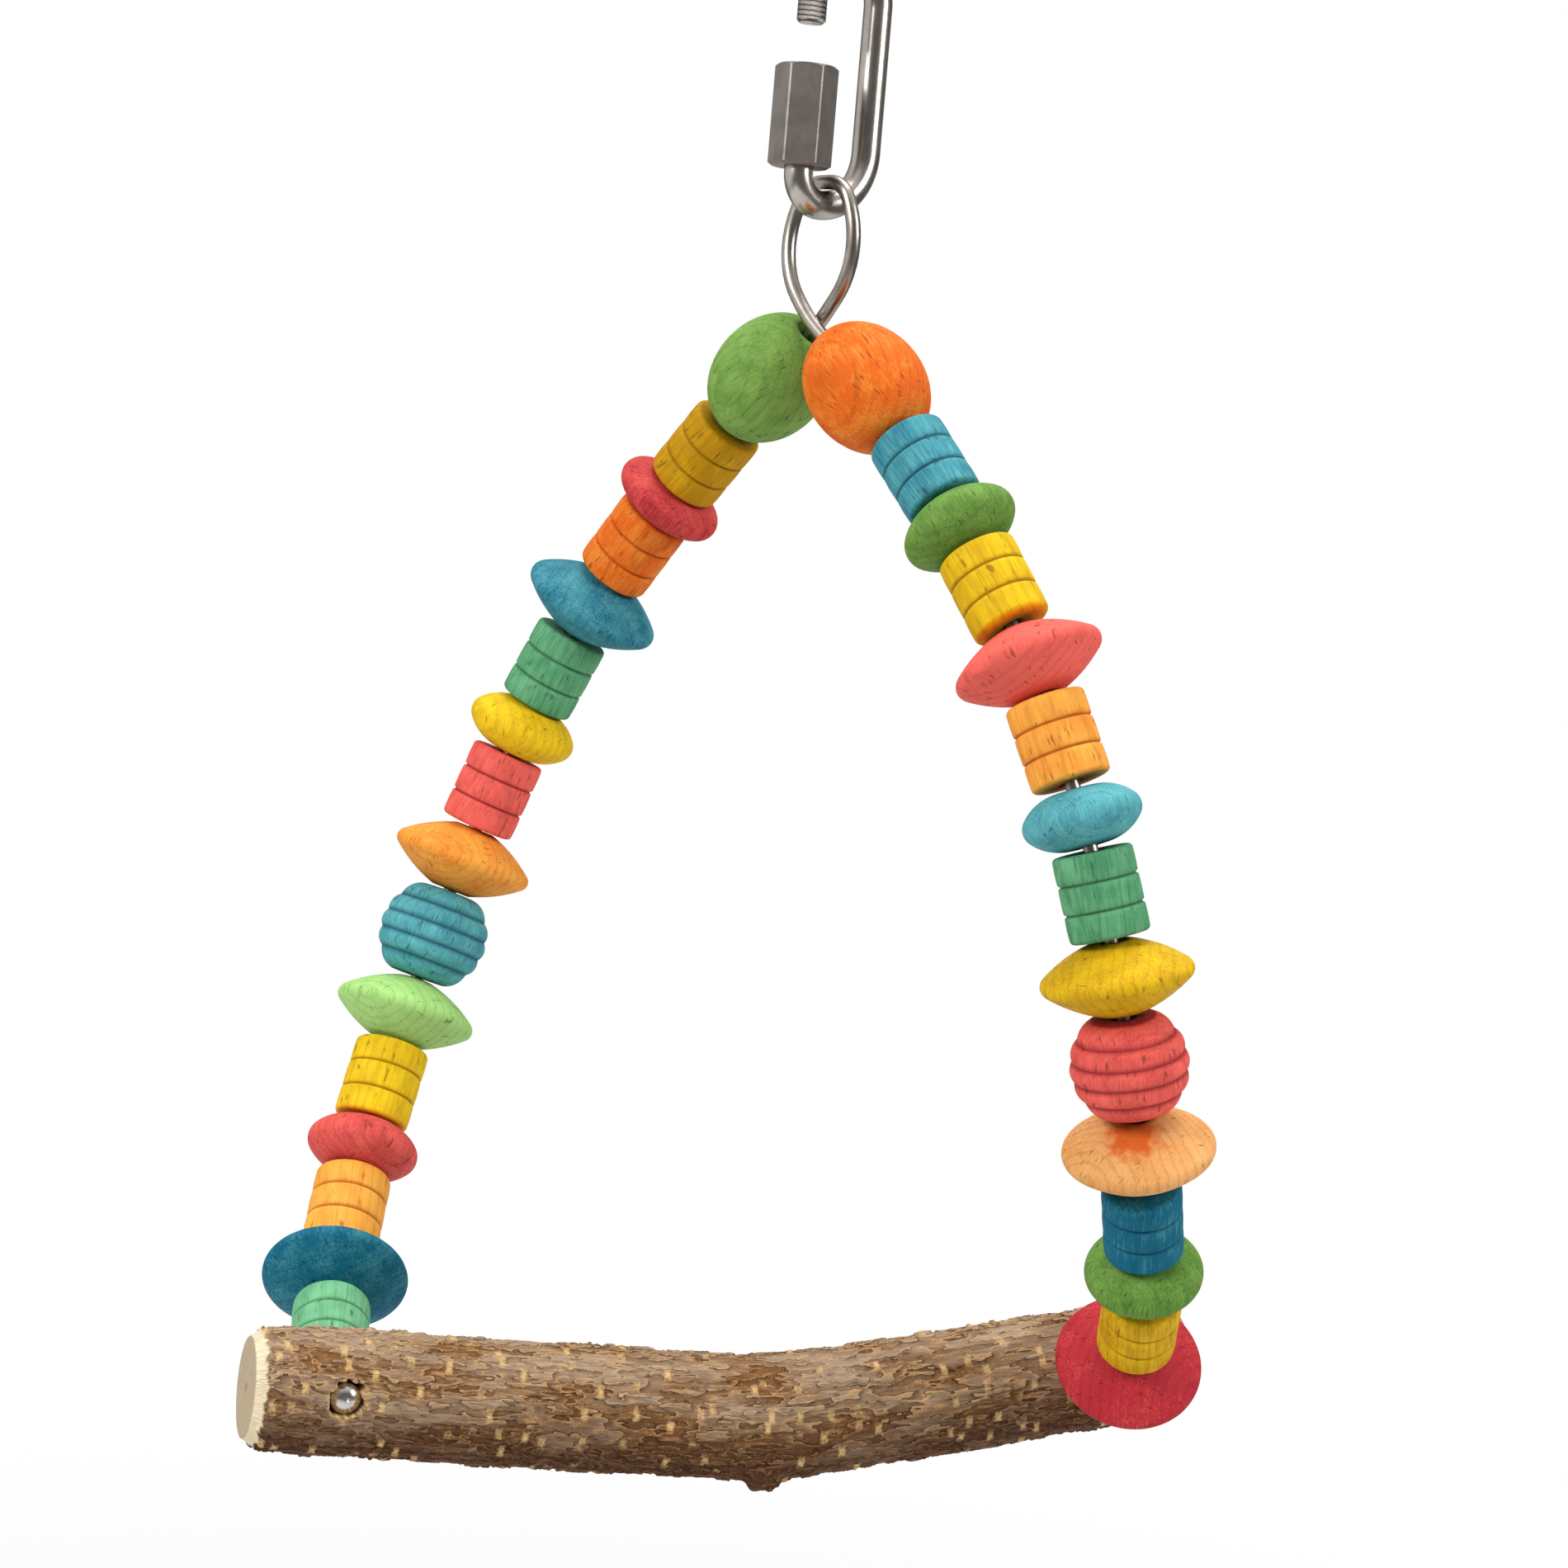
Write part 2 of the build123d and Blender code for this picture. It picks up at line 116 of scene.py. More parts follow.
def spread(tree, value, low, high, to_low=0.0, to_high=1.0, how="LINEAR"):
    """Stretches value from low..high to to_low..to_high, held at the ends."""
    return place(tree, "ShaderNodeMapRange", {
        "Value": value, "From Min": low, "From Max": high, "To Min": to_low, "To Max": to_high},
        interpolation_type=how).outputs[0]


def between(tree, share, first, second):
    """A number on the way from first to second."""
    return place(tree, "ShaderNodeMix", {0: share, 2: first, 3: second}, data_type="FLOAT").outputs[0]


def seen_ray(tree):
    """1 for rays that show the background: straight to the camera, mirrored or through glass."""
    path = place(tree, "ShaderNodeLightPath").outputs
    seen = number(tree, "MAXIMUM", path["Is Camera Ray"], path["Is Glossy Ray"])
    return number(tree, "MAXIMUM", seen, path["Is Transmission Ray"])


camera = bpy.data.objects.new("camera", bpy.data.cameras.new("camera"))
camera.data.lens = CAMERA_LENS
camera.data.sensor_width = CAMERA_SENSOR
camera.data.clip_start = CAMERA_NEAREST
look = CAMERA_LOOK.normalized()
right = look.cross(CAMERA_UP).normalized()
camera_turn = Matrix((right, right.cross(look), -look)).transposed().to_4x4()
camera.matrix_world = Matrix.Translation(CAMERA_PLACE) @ camera_turn
scene.collection.objects.link(camera)
scene.camera = camera
scene.view_settings.view_transform = "Standard"

world = bpy.data.worlds.new("studio")
world.use_nodes = True
scene.world = world
sky = world.node_tree
sky.nodes.clear()
facing = place(sky, "ShaderNodeTexCoord").outputs["Generated"]
panels = 0.0
for aim, panel_end, panel_full in PANELS:
    toward = arrow(sky, "DOT_PRODUCT", facing, Vector(aim).normalized())
    panel = spread(sky, toward, panel_end, panel_full, how="SMOOTHSTEP")
    panels = number(sky, "MAXIMUM", panels, panel)
mirrored = place(sky, "ShaderNodeLightPath").outputs["Is Glossy Ray"]
shown = between(sky, mirrored, 1.0, spread(sky, panels, 0.0, 1.0, *PANEL_LEVELS))
cast = spread(sky, split(sky, facing)["Z"], *SKY_HEIGHTS, *SKY_LEVELS)
glow = place(sky, "ShaderNodeBackground", {"Color": SKY_COLOUR, "Strength": cast})
white = place(sky, "ShaderNodeBackground", {"Color": WHITE, "Strength": shown})
either = place(sky, "ShaderNodeMixShader", {0: seen_ray(sky), 1: glow.outputs[0], 2: white.outputs[0]})
place(sky, "ShaderNodeOutputWorld", {"Surface": either.outputs[0]})

floor_mesh = bpy.data.meshes.new("floor")
floor_corners = [(x * FLOOR_HALF, y * FLOOR_HALF, FLOOR_Z) for x, y in ((-1, -1), (1, -1), (1, 1), (-1, 1))]
floor_mesh.from_pydata(floor_corners, [], [(0, 1, 2, 3)])
floor = bpy.data.objects.new("floor", floor_mesh)
scene.collection.objects.link(floor)
floor_paint = bpy.data.materials.new("floor_paint")
floor_paint.use_nodes = True
paint = floor_paint.node_tree
paint.nodes.clear()
on_floor = stretched(paint, place(paint, "ShaderNodeTexCoord").outputs["Object"], (1, 1, 0))
from_centre = arrow(paint, "LENGTH", on_floor)
fade = spread(paint, from_centre, SHADOW_REACH, FLOOR_HALF, *FLOOR_WHITE, how="SMOOTHSTEP")
matt = place(paint, "ShaderNodeBsdfDiffuse", {"Color": FLOOR_COLOUR})
bright = place(paint, "ShaderNodeEmission", {"Color": WHITE, "Strength": 1.0})
whitened = times(paint, seen_ray(paint), fade)
either = place(paint, "ShaderNodeMixShader", {0: whitened, 1: matt.outputs[0], 2: bright.outputs[0]})
place(paint, "ShaderNodeOutputMaterial", {"Surface": either.outputs[0]})
floor.data.materials.append(floor_paint)

for name, spot, size, power in LAMPS:
    lamp = bpy.data.objects.new(name, bpy.data.lights.new(name, "AREA"))
    lamp.data.size = size
    lamp.data.energy = power
    lamp.location = spot
    lamp.rotation_mode = "QUATERNION"
    lamp.rotation_quaternion = (LAMP_AIM - Vector(spot)).to_track_quat("-Z", "Y")
    scene.collection.objects.link(lamp)


# Quick link: one stainless rod, drawn smooth and bent to a long ring that is open in one side. A thread is
# cut on the rod above the gap, for the nut to screw onto. Drawing left faint lines along the bright rod.
FINISH = [("Color", "NodeSocketColor"), ("Roughness", "NodeSocketFloat"), ("Height", "NodeSocketFloat")]
THREAD_RADIUS = 0.0034
# The near black painted in the roots of the thread: painted shade in its grooves.
THREAD_ROOT_SHADE = (0.02, 0.018, 0.016, 1)
THREAD_RELIEF = 26.0
UPPER_THREAD = {"Thread Middle": (-0.0082, -0.00418, -0.0094), "Thread Reach": 0.0031, "Thread Pitch": 0.001}


def plus(tree, first, second):
    return number(tree, "ADD", first, second)


def minus(tree, first, second):
    return number(tree, "SUBTRACT", first, second)


def times_plus(tree, first, second, third):
    """First times second, plus third."""
    return number(tree, "MULTIPLY_ADD", first, second, third)


def blend(tree, share, first, second, how="MIX"):
    """A colour on the way from first to second."""
    mix = place(tree, "ShaderNodeMix", {0: share, 6: first, 7: second}, data_type="RGBA", blend_type=how)
    return mix.outputs[2]


def noise(tree, where, scale, detail=3.0, rough=0.55):
    return place(tree, "ShaderNodeTexNoise", {
        "Vector": where, "Scale": scale, "Detail": detail, "Roughness": rough}).outputs[0]


def new_group(name, kind, inputs, outputs):
    """A node group with named sockets, and its input and output sockets inside."""
    group = bpy.data.node_groups.new(name, kind)
    for direction, sockets in (("INPUT", inputs), ("OUTPUT", outputs)):
        for label, socket, *default in sockets:
            made = group.interface.new_socket(label, in_out=direction, socket_type=socket)
            if default:
                made.default_value = default[0]
    return group, group.nodes.new("NodeGroupInput").outputs, group.nodes.new("NodeGroupOutput").inputs


steel_wear_and_thread_shade, given, out = new_group(
    "steel_wear_and_thread_shade", "ShaderNodeTree",
    [("Place", "NodeSocketVector"), ("Metal", "NodeSocketColor"), ("Tarnish", "NodeSocketColor"),
     ("Lines", "NodeSocketVector"), ("Smooth", "NodeSocketFloat"), ("Rough", "NodeSocketFloat"),
     ("Thread Middle", "NodeSocketVector"), ("Thread Reach", "NodeSocketFloat"),
     ("Thread Pitch", "NodeSocketFloat", 0.001)], FINISH)
cloud = noise(steel_wear_and_thread_shade, given["Place"], 160.0, 4.0)
drawn = noise(steel_wear_and_thread_shade, stretched(steel_wear_and_thread_shade, given["Place"], given["Lines"]), 1.0, 2.0)
specks = noise(steel_wear_and_thread_shade, given["Place"], 2600.0, 2.0)
dull = blend(steel_wear_and_thread_shade, spread(steel_wear_and_thread_shade, cloud, 0.42, 0.72), given["Metal"], given["Tarnish"])
worn = blend(steel_wear_and_thread_shade, spread(steel_wear_and_thread_shade, specks, 0.62, 0.78, 0.0, 0.35), dull, given["Tarnish"])

from_middle = arrow(steel_wear_and_thread_shade, "SUBTRACT", given["Place"], given["Thread Middle"])
beside = split(steel_wear_and_thread_shade, from_middle)
off_axis = arrow(steel_wear_and_thread_shade, "LENGTH", stretched(steel_wear_and_thread_shade, from_middle, (1, 1, 0)))
on_rod = number(steel_wear_and_thread_shade, "LESS_THAN", off_axis, THREAD_RADIUS)
off_middle = number(steel_wear_and_thread_shade, "ABSOLUTE", beside["Z"])
in_reach = number(steel_wear_and_thread_shade, "LESS_THAN", off_middle, given["Thread Reach"])
on_thread = times(steel_wear_and_thread_shade, on_rod, in_reach)
turned = number(steel_wear_and_thread_shade, "DIVIDE", number(steel_wear_and_thread_shade, "ARCTAN2", beside["Y"], beside["X"]), math.tau)
climbed = number(steel_wear_and_thread_shade, "DIVIDE", beside["Z"], given["Thread Pitch"])
ridge = times(steel_wear_and_thread_shade, number(steel_wear_and_thread_shade, "PINGPONG", plus(steel_wear_and_thread_shade, turned, climbed), 0.5), 2.0)
# Painted shade: the roots of the thread are painted near black, as the shade in its grooves.
root_shade = times(steel_wear_and_thread_shade, on_thread, spread(steel_wear_and_thread_shade, ridge, 0.55, 0.10, 0.0, 0.85))
steel_wear_and_thread_shade.links.new(blend(steel_wear_and_thread_shade, root_shade, worn, THREAD_ROOT_SHADE), out["Color"])

matted = plus(steel_wear_and_thread_shade, times(steel_wear_and_thread_shade, cloud, 0.5), times(steel_wear_and_thread_shade, drawn, 0.5))
rough_span = minus(steel_wear_and_thread_shade, given["Rough"], given["Smooth"])
steel_wear_and_thread_shade.links.new(times_plus(steel_wear_and_thread_shade, matted, rough_span, given["Smooth"]), out["Roughness"])
cut = times(steel_wear_and_thread_shade, times(steel_wear_and_thread_shade, on_thread, ridge), THREAD_RELIEF)
scratches = times_plus(steel_wear_and_thread_shade, specks, 0.4, drawn)
steel_wear_and_thread_shade.links.new(plus(steel_wear_and_thread_shade, cut, scratches), out["Height"])


def finish_with(name, group, feeds, bump_depth, **plain):
    """A material from one node group. A word as a feed is object space or a value stored on the mesh."""
    material = bpy.data.materials.new(name)
    material.use_nodes = True
    tree = material.node_tree
    shader = tree.nodes["Principled BSDF"]
    surface = tree.nodes.new("ShaderNodeGroup")
    surface.node_tree = group
    for label, feed in feeds.items():
        socket = surface.inputs[label]
        if feed == "object":
            tree.links.new(place(tree, "ShaderNodeTexCoord").outputs["Object"], socket)
        elif isinstance(feed, str):
            stored = place(tree, "ShaderNodeAttribute", attribute_name=feed)
            tree.links.new(stored.outputs["Vector" if socket.type == "VECTOR" else "Fac"], socket)
        else:
            socket.default_value = feed
    tree.links.new(surface.outputs["Color"], shader.inputs["Base Color"])
    tree.links.new(surface.outputs["Roughness"], shader.inputs["Roughness"])
    bump = place(tree, "ShaderNodeBump", {
        "Strength": 1.0, "Distance": bump_depth, "Height": surface.outputs["Height"]})
    tree.links.new(bump.outputs[0], shader.inputs["Normal"])
    for label, value in plain.items():
        shader.inputs[label.replace("_", " ")].default_value = value
    return material


def steel(name, metal, tarnish, lines, smooth, rough, depth, thread=None):
    return finish_with(name, steel_wear_and_thread_shade, {
        "Place": "object", "Metal": (*metal, 1), "Tarnish": (*tarnish, 1), "Lines": lines,
        "Smooth": smooth, "Rough": rough, **(thread or {})}, depth, Metallic=1.0)


def dress(node, finish):
    """Gives a piece of the frame its finish."""
    piece = frame["nodes"][node]
    piece.data.materials.clear()
    piece.data.materials.append(finish)


rod_steel = steel("rod_steel", metal=(0.53, 0.49, 0.445), tarnish=(0.35, 0.31, 0.27),
                  lines=(900, 900, 60), smooth=0.18, rough=0.34, depth=0.00001, thread=UPPER_THREAD)
dress("quick_link", rod_steel)


# Nut: a sleeve turned from stainless hexagon bar and left satin, so its flats are darker and duller than the
# rod. It is screwed down the rod here and leaves the link open.
nut_steel = steel("nut_steel", metal=(0.320, 0.285, 0.258), tarnish=(0.220, 0.190, 0.168),
                  lines=(700, 700, 500), smooth=0.40, rough=0.56, depth=0.00003)
dress("link_nut", nut_steel)


# Hanger wire: one length of drawn stainless wire. It is bent to an eye on the link, crossed under it, bowed
# into two arms for the beads and hooked through the perch at both feet.
wire_steel = steel("wire_steel", metal=(0.44, 0.40, 0.355), tarnish=(0.28, 0.245, 0.21),
                   lines=(800, 800, 120), smooth=0.22, rough=0.40, depth=0.00001)
dress("hanger_wire", wire_steel)


# Beads: beech turned on a lathe, drilled through and dyed in one bath per colour. The grain runs along the
# hole, so the faces of saucers and rondelles show the year rings as arcs, with short rays across them.
# Outlines are in millimetres, as the radius from the hole's axis and the height from the bead's middle.
HOLE = 2.4
EGG_HOLE = 3.0
HOLE_MOUTH = 0.35
FLAT = 4.2
BALL_RADIUS = 11.8
BALL_FULL = 11.9
# The cut of a barrel's groove: shares of its depth, and of its half width up from the band below.
GROOVE_CUT = ((0.25, 0.3), (1.0, 0.85), (1.0, 1.15), (0.25, 1.7))
FACETS = 88
UNEVENNESS = 0.0001
WELD = 0.000001
BEAD_SEED = 11
GRAIN_LEAN = 0.12
LOG_RADII = (0.018, 0.034)
LOG_ASIDE = 0.012


def arc(centre, radius, start, end, steps):
    """Points (radius across, height) on a circle, angles in degrees from the outward direction."""
    turns = np.radians(np.linspace(start, end, steps))
    return [(centre[0] + radius * math.cos(t), centre[1] + radius * math.sin(t)) for t in turns]


def three_point_arc(a, b, c, steps):
    """Points on the circle through a, b and c."""
    (ax, ay), (bx, by), (cx, cy) = a, b, c
    d = 2 * (ax * (by - cy) + bx * (cy - ay) + cx * (ay - by))
    ux = ((ax**2 + ay**2) * (by - cy) + (bx**2 + by**2) * (cy - ay) + (cx**2 + cy**2) * (ay - by)) / d
    uy = ((ax**2 + ay**2) * (cx - bx) + (bx**2 + by**2) * (ax - cx) + (cx**2 + cy**2) * (bx - ax)) / d
    start, middle, end = (math.degrees(math.atan2(y - uy, x - ux)) for x, y in (a, b, c))
    if not min(start, end) <= middle <= max(start, end):
        start, end = (start % 360, end % 360)
    return arc((ux, uy), math.hypot(ax - ux, ay - uy), start, end, steps)


def drilled(side, hole, mouth=HOLE_MOUTH, rounding=0.4):
    """Closes an outline that runs from its foot to its top with the drilled hole and its broken edges."""
    top = side[-1][1]
    edge = [(hole + mouth, top), (hole + mouth * rounding, top - mouth * rounding), (hole, top - mouth)]
    wall = [(hole, z) for z in np.linspace(top - mouth, mouth - top, 6)[1:-1]]
    return side + edge + wall + [(r, -z) for r, z in reversed(edge)]


def egg_outline(radius=12.2, end=14.3, steps=41):
    """An oval, cut flat round the hole at both ends."""
    turn = math.acos(FLAT / radius)
    tall = end / math.sin(turn)
    side = [(radius * math.cos(t), tall * math.sin(t)) for t in np.linspace(-turn, turn, steps)]
    return drilled(side, EGG_HOLE)


def lens_outline(radius, end, rim, rim_deg, face_steps=11, rim_steps=9):
    """Domed faces that run into a rounded rim without a corner."""
    turn = math.radians(rim_deg)
    edge = (radius - rim * (1 - math.cos(turn)), rim * math.sin(turn))
    chord = (FLAT - edge[0], end - edge[1])
    bend = math.atan2(chord[1], chord[0]) - math.atan2(math.cos(turn), -math.sin(turn))
    length = math.hypot(*chord)
    swell = length / 2 * math.tan(bend / 2)
    middle = ((edge[0] + FLAT) / 2 + chord[1] / length * swell,
              (edge[1] + end) / 2 - chord[0] / length * swell)
    upper = three_point_arc(edge, middle, (FLAT, end), face_steps)
    lower = [(r, -z) for r, z in reversed(upper)]
    rim_arc = arc((radius - rim, 0), rim, -rim_deg, rim_deg, rim_steps)
    return drilled(lower + rim_arc[1:-1] + upper, HOLE)


def barrel_outline(radius=8.0, end=8.6, edge=0.9, groove=0.45, depth=0.5, swell=0.07, steps=7):
    """Three bands, each slightly swelled, between two cut grooves."""
    third = end / 3
    bands = ((-end + edge, -third - groove), (-third + groove, third - groove), (third + groove, end - edge))
    side = arc((radius - edge, -end + edge), edge, -90, 0, steps)
    for foot, top in bands:
        side += [(radius + swell * math.sin(math.pi * up), foot + (top - foot) * up)
                 for up in np.linspace(0, 1, steps)]
        if (foot, top) != bands[-1]:
            side += [(radius - depth * deep, top + groove * up) for deep, up in GROOVE_CUT]
    return drilled(side + arc((radius - edge, end - edge), edge, 0, 90, steps), HOLE)


def ball_crest(height):
    """How far the ribs of a ball stand out at a height."""
    return BALL_RADIUS * np.sqrt(np.clip(1 - (height / BALL_FULL) ** 2, 0, 1))


def ball_outline(end=9.8, ribs=5, depth=0.6, steps=9):
    """A ball of rounded ribs with sharp valleys between them."""
    pitch = 2 * end / ribs
    side = []
    for rib in range(ribs):
        low, high = -end + pitch * rib, -end + pitch * (rib + 1)
        middle = (low + high) / 2
        valleys = ((ball_crest(low) - depth, low), (ball_crest(high) - depth, high))
        bulge = three_point_arc(valleys[0], (ball_crest(middle), middle), valleys[1], steps)
        side += bulge if rib == 0 else bulge[1:]
    return drilled(side, HOLE)


OUTLINES = {
    "egg": egg_outline(),
    "barrel": barrel_outline(),
    "rondelle": lens_outline(radius=12.0, end=5.7, rim=3.4, rim_deg=40.0),
    "thin_rondelle": lens_outline(radius=12.0, end=4.3, rim=2.6, rim_deg=55.0),
    "saucer": lens_outline(radius=15.25, end=7.2, rim=2.0, rim_deg=50.0),
    "ball": ball_outline(),
}


def told(tree, name, kind):
    """A value stored on the mesh under a name."""
    return place(tree, "GeometryNodeInputNamedAttribute", {"Name": name}, data_type=kind).outputs[0]


def marked(tree, shape, name, value, kind="FLOAT"):
    """Stores a value on the points of a shape."""
    return place(tree, "GeometryNodeStoreNamedAttribute", {"Geometry": shape, "Name": name, "Value": value},
                 data_type=kind, domain="POINT").outputs[0]


def scaled(tree, vector, by):
    return place(tree, "ShaderNodeVectorMath", {0: vector, "Scale": by}, operation="SCALE").outputs[0]


def hand_over(tree, shape, material, socket):
    """Ends a tree: smooth faces, real geometry and its material."""
    smooth = place(tree, "GeometryNodeSetShadeSmooth", {"Geometry": shape})
    real = place(tree, "GeometryNodeRealizeInstances", {"Geometry": smooth.outputs[0]})
    faced = place(tree, "GeometryNodeSetMaterial", {"Geometry": real.outputs[0], "Material": material})
    tree.links.new(faced.outputs[0], socket)


turning, given, out = new_group(
    "turned_bead", "GeometryNodeTree",
    [("Outline", "NodeSocketGeometry"), ("Facets", "NodeSocketInt", FACETS), ("Spot", "NodeSocketVector"),
     ("Lean", "NodeSocketRotation"), ("Grain Turn", "NodeSocketRotation"), ("Log Spot", "NodeSocketVector"),
     ("Unevenness", "NodeSocketFloat", UNEVENNESS), ("Take", "NodeSocketFloat", 0.5),
     ("Dye", "NodeSocketMaterial")],
    [("Bead", "NodeSocketGeometry")])
corners = place(turning, "GeometryNodeAttributeDomainSize", {"Geometry": given["Outline"]},
                component="MESH").outputs[0]
sheet = place(turning, "GeometryNodeMeshGrid", {
    "Size X": 1.0, "Size Y": 1.0, "Vertices X": plus(turning, corners, 1.0),
    "Vertices Y": plus(turning, given["Facets"], 1.0)}).outputs["Mesh"]
on_sheet = split(turning, place(turning, "GeometryNodeInputPosition").outputs[0])
row = number(turning, "ROUND", times(turning, plus(turning, on_sheet["X"], 0.5), corners))
row = number(turning, "MODULO", row, corners)
outline_point = place(turning, "GeometryNodeSampleIndex", {
    "Geometry": given["Outline"], "Value": place(turning, "GeometryNodeInputPosition").outputs[0],
    "Index": row}, data_type="FLOAT_VECTOR").outputs[0]
outline_pool_and_shade = place(turning, "GeometryNodeSampleIndex", {
    "Geometry": given["Outline"], "Value": told(turning, "pool_and_shade", "FLOAT"),
    "Index": row}, data_type="FLOAT").outputs[0]
profile = split(turning, outline_point)
angle = times(turning, plus(turning, on_sheet["Y"], 0.5), math.tau)
turned_to = place(turning, "ShaderNodeCombineXYZ", {
    "X": times(turning, profile["X"], number(turning, "COSINE", angle)),
    "Y": times(turning, profile["X"], number(turning, "SINE", angle)),
    "Z": profile["Z"]}).outputs[0]
sheet_with_pool_and_shade = marked(turning, sheet, "pool_and_shade", outline_pool_and_shade)
spun = place(turning, "GeometryNodeSetPosition", {"Geometry": sheet_with_pool_and_shade, "Position": turned_to}).outputs[0]
faced_out = place(turning, "GeometryNodeFlipFaces", {"Mesh": spun}).outputs[0]
closed = place(turning, "GeometryNodeMergeByDistance", {"Geometry": faced_out, "Distance": WELD}).outputs[0]
on_lathe = place(turning, "GeometryNodeInputPosition").outputs[0]
laid = place(turning, "FunctionNodeRotateVector", {"Vector": on_lathe, "Rotation": given["Grain Turn"]})
in_log = arrow(turning, "ADD", laid.outputs[0], given["Log Spot"])
shape = marked(turning, closed, "lathe", on_lathe, "FLOAT_VECTOR")
shape = marked(turning, shape, "grain", in_log, "FLOAT_VECTOR")
shape = marked(turning, shape, "take_and_shade", given["Take"])
lump = minus(turning, noise(turning, in_log, 170.0, 2.0), 0.65)
outward = place(turning, "GeometryNodeInputNormal").outputs[0]
push = scaled(turning, outward, times(turning, lump, given["Unevenness"]))
uneven = place(turning, "GeometryNodeSetPosition", {"Geometry": shape, "Offset": push}).outputs[0]
threaded = place(turning, "GeometryNodeTransform", {
    "Geometry": uneven, "Translation": given["Spot"], "Rotation": given["Lean"]}).outputs[0]
hand_over(turning, threaded, given["Dye"], out["Bead"])

# Tints that darken the dye in late wood and in the short rays, and where the dye pools in grooves and round the
# hole, which is also painted shade in those recesses.
LATE_WOOD = (0.52, 0.47, 0.42, 1)
RAY = (0.22, 0.18, 0.15, 1)
POOL_AND_SHADE_TINT = (0.55, 0.48, 0.42, 1)
PITH_TO_BEAD = 0.022
dyed_grain_and_shade, given, out = new_group(
    "dyed_grain_and_shade", "ShaderNodeTree",
    [("Grain", "NodeSocketVector"), ("Pool", "NodeSocketFloat"), ("Take", "NodeSocketFloat"),
     ("Thin", "NodeSocketColor"), ("Full", "NodeSocketColor"), ("Ring Gap", "NodeSocketFloat", 0.0021),
     ("Rings", "NodeSocketFloat", 0.30), ("Flecks", "NodeSocketFloat", 0.60),
     ("Lathe", "NodeSocketVector"), ("Stain Spot", "NodeSocketVector"), ("Stain Reach", "NodeSocketFloat"),
     ("Stain", "NodeSocketColor")], FINISH)
wander = noise(dyed_grain_and_shade, stretched(dyed_grain_and_shade, given["Grain"], (160, 160, 45)), 1.0, 3.0)
from_pith = arrow(dyed_grain_and_shade, "LENGTH", stretched(dyed_grain_and_shade, given["Grain"], (1, 1, 0)))
wavy = times_plus(dyed_grain_and_shade, wander, 0.0022, from_pith)
year = number(dyed_grain_and_shade, "FRACT", number(dyed_grain_and_shade, "DIVIDE", wavy, given["Ring Gap"]))
late = times(dyed_grain_and_shade, spread(dyed_grain_and_shade, year, 0.60, 0.95), spread(dyed_grain_and_shade, year, 1.0, 0.95))
fibre = noise(dyed_grain_and_shade, stretched(dyed_grain_and_shade, given["Grain"], (2300, 2300, 130)), 1.0, 3.0, 0.6)
log = split(dyed_grain_and_shade, given["Grain"])
round_pith = times(dyed_grain_and_shade, number(dyed_grain_and_shade, "ARCTAN2", log["Y"], log["X"]), PITH_TO_BEAD)
rays = place(dyed_grain_and_shade, "ShaderNodeCombineXYZ", {"X": round_pith, "Y": from_pith, "Z": log["Z"]}).outputs[0]
ray_noise = noise(dyed_grain_and_shade, stretched(dyed_grain_and_shade, rays, (2200, 480, 260)), 1.0, 1.0)
fleck = spread(dyed_grain_and_shade, ray_noise, 0.66, 0.73)
blotch = noise(dyed_grain_and_shade, given["Grain"], 190.0, 4.0)
uptake_and_shade = plus(dyed_grain_and_shade, given["Take"], spread(dyed_grain_and_shade, blotch, 0.3, 0.7, -0.22, 0.22))
uptake_and_shade = plus(dyed_grain_and_shade, uptake_and_shade, spread(dyed_grain_and_shade, fibre, 0.3, 0.7, -0.22, 0.22))
soaked = blend(dyed_grain_and_shade, spread(dyed_grain_and_shade, uptake_and_shade, 0.0, 1.0), given["Thin"], given["Full"])
late_dye = blend(dyed_grain_and_shade, 1.0, soaked, LATE_WOOD, "MULTIPLY")
ray_dye = blend(dyed_grain_and_shade, 1.0, soaked, RAY, "MULTIPLY")
dye = blend(dyed_grain_and_shade, times(dyed_grain_and_shade, late, given["Rings"]), soaked, late_dye)
dye = blend(dyed_grain_and_shade, times(dyed_grain_and_shade, fleck, given["Flecks"]), dye, ray_dye)

from_stain = arrow(dyed_grain_and_shade, "DISTANCE", given["Lathe"], given["Stain Spot"])
stain_edge = noise(dyed_grain_and_shade, given["Lathe"], 330.0, 4.0, 0.65)
past_stain = minus(dyed_grain_and_shade, times_plus(dyed_grain_and_shade, stain_edge, 0.009, from_stain), given["Stain Reach"])
stained = number(dyed_grain_and_shade, "SIGN", given["Stain Reach"])
stain_body = times(dyed_grain_and_shade, spread(dyed_grain_and_shade, past_stain, 0.0032, 0.0, 0.0, 0.9), stained)
stain_heart = times(dyed_grain_and_shade, spread(dyed_grain_and_shade, past_stain, -0.0022, -0.0034, 0.0, 0.7), stained)
dye = blend(dyed_grain_and_shade, stain_body, dye, given["Stain"])
dye = blend(dyed_grain_and_shade, stain_heart, dye, late_dye)

# Pooling dye and painted shade: the full dye is darkened in the grooves, the ball's valleys and round the hole.
pool_and_shade_dye = blend(dyed_grain_and_shade, 1.0, given["Full"], POOL_AND_SHADE_TINT, "MULTIPLY")
dye = blend(dyed_grain_and_shade, times(dyed_grain_and_shade, given["Pool"], 0.85), dye, pool_and_shade_dye)
dyed_grain_and_shade.links.new(dye, out["Color"])
dyed_grain_and_shade.links.new(spread(dyed_grain_and_shade, fibre, 0.3, 0.7, 0.56, 0.74), out["Roughness"])
relief = times_plus(dyed_grain_and_shade, late, -0.35, times_plus(dyed_grain_and_shade, fleck, -0.8, fibre))
dyed_grain_and_shade.links.new(relief, out["Height"])


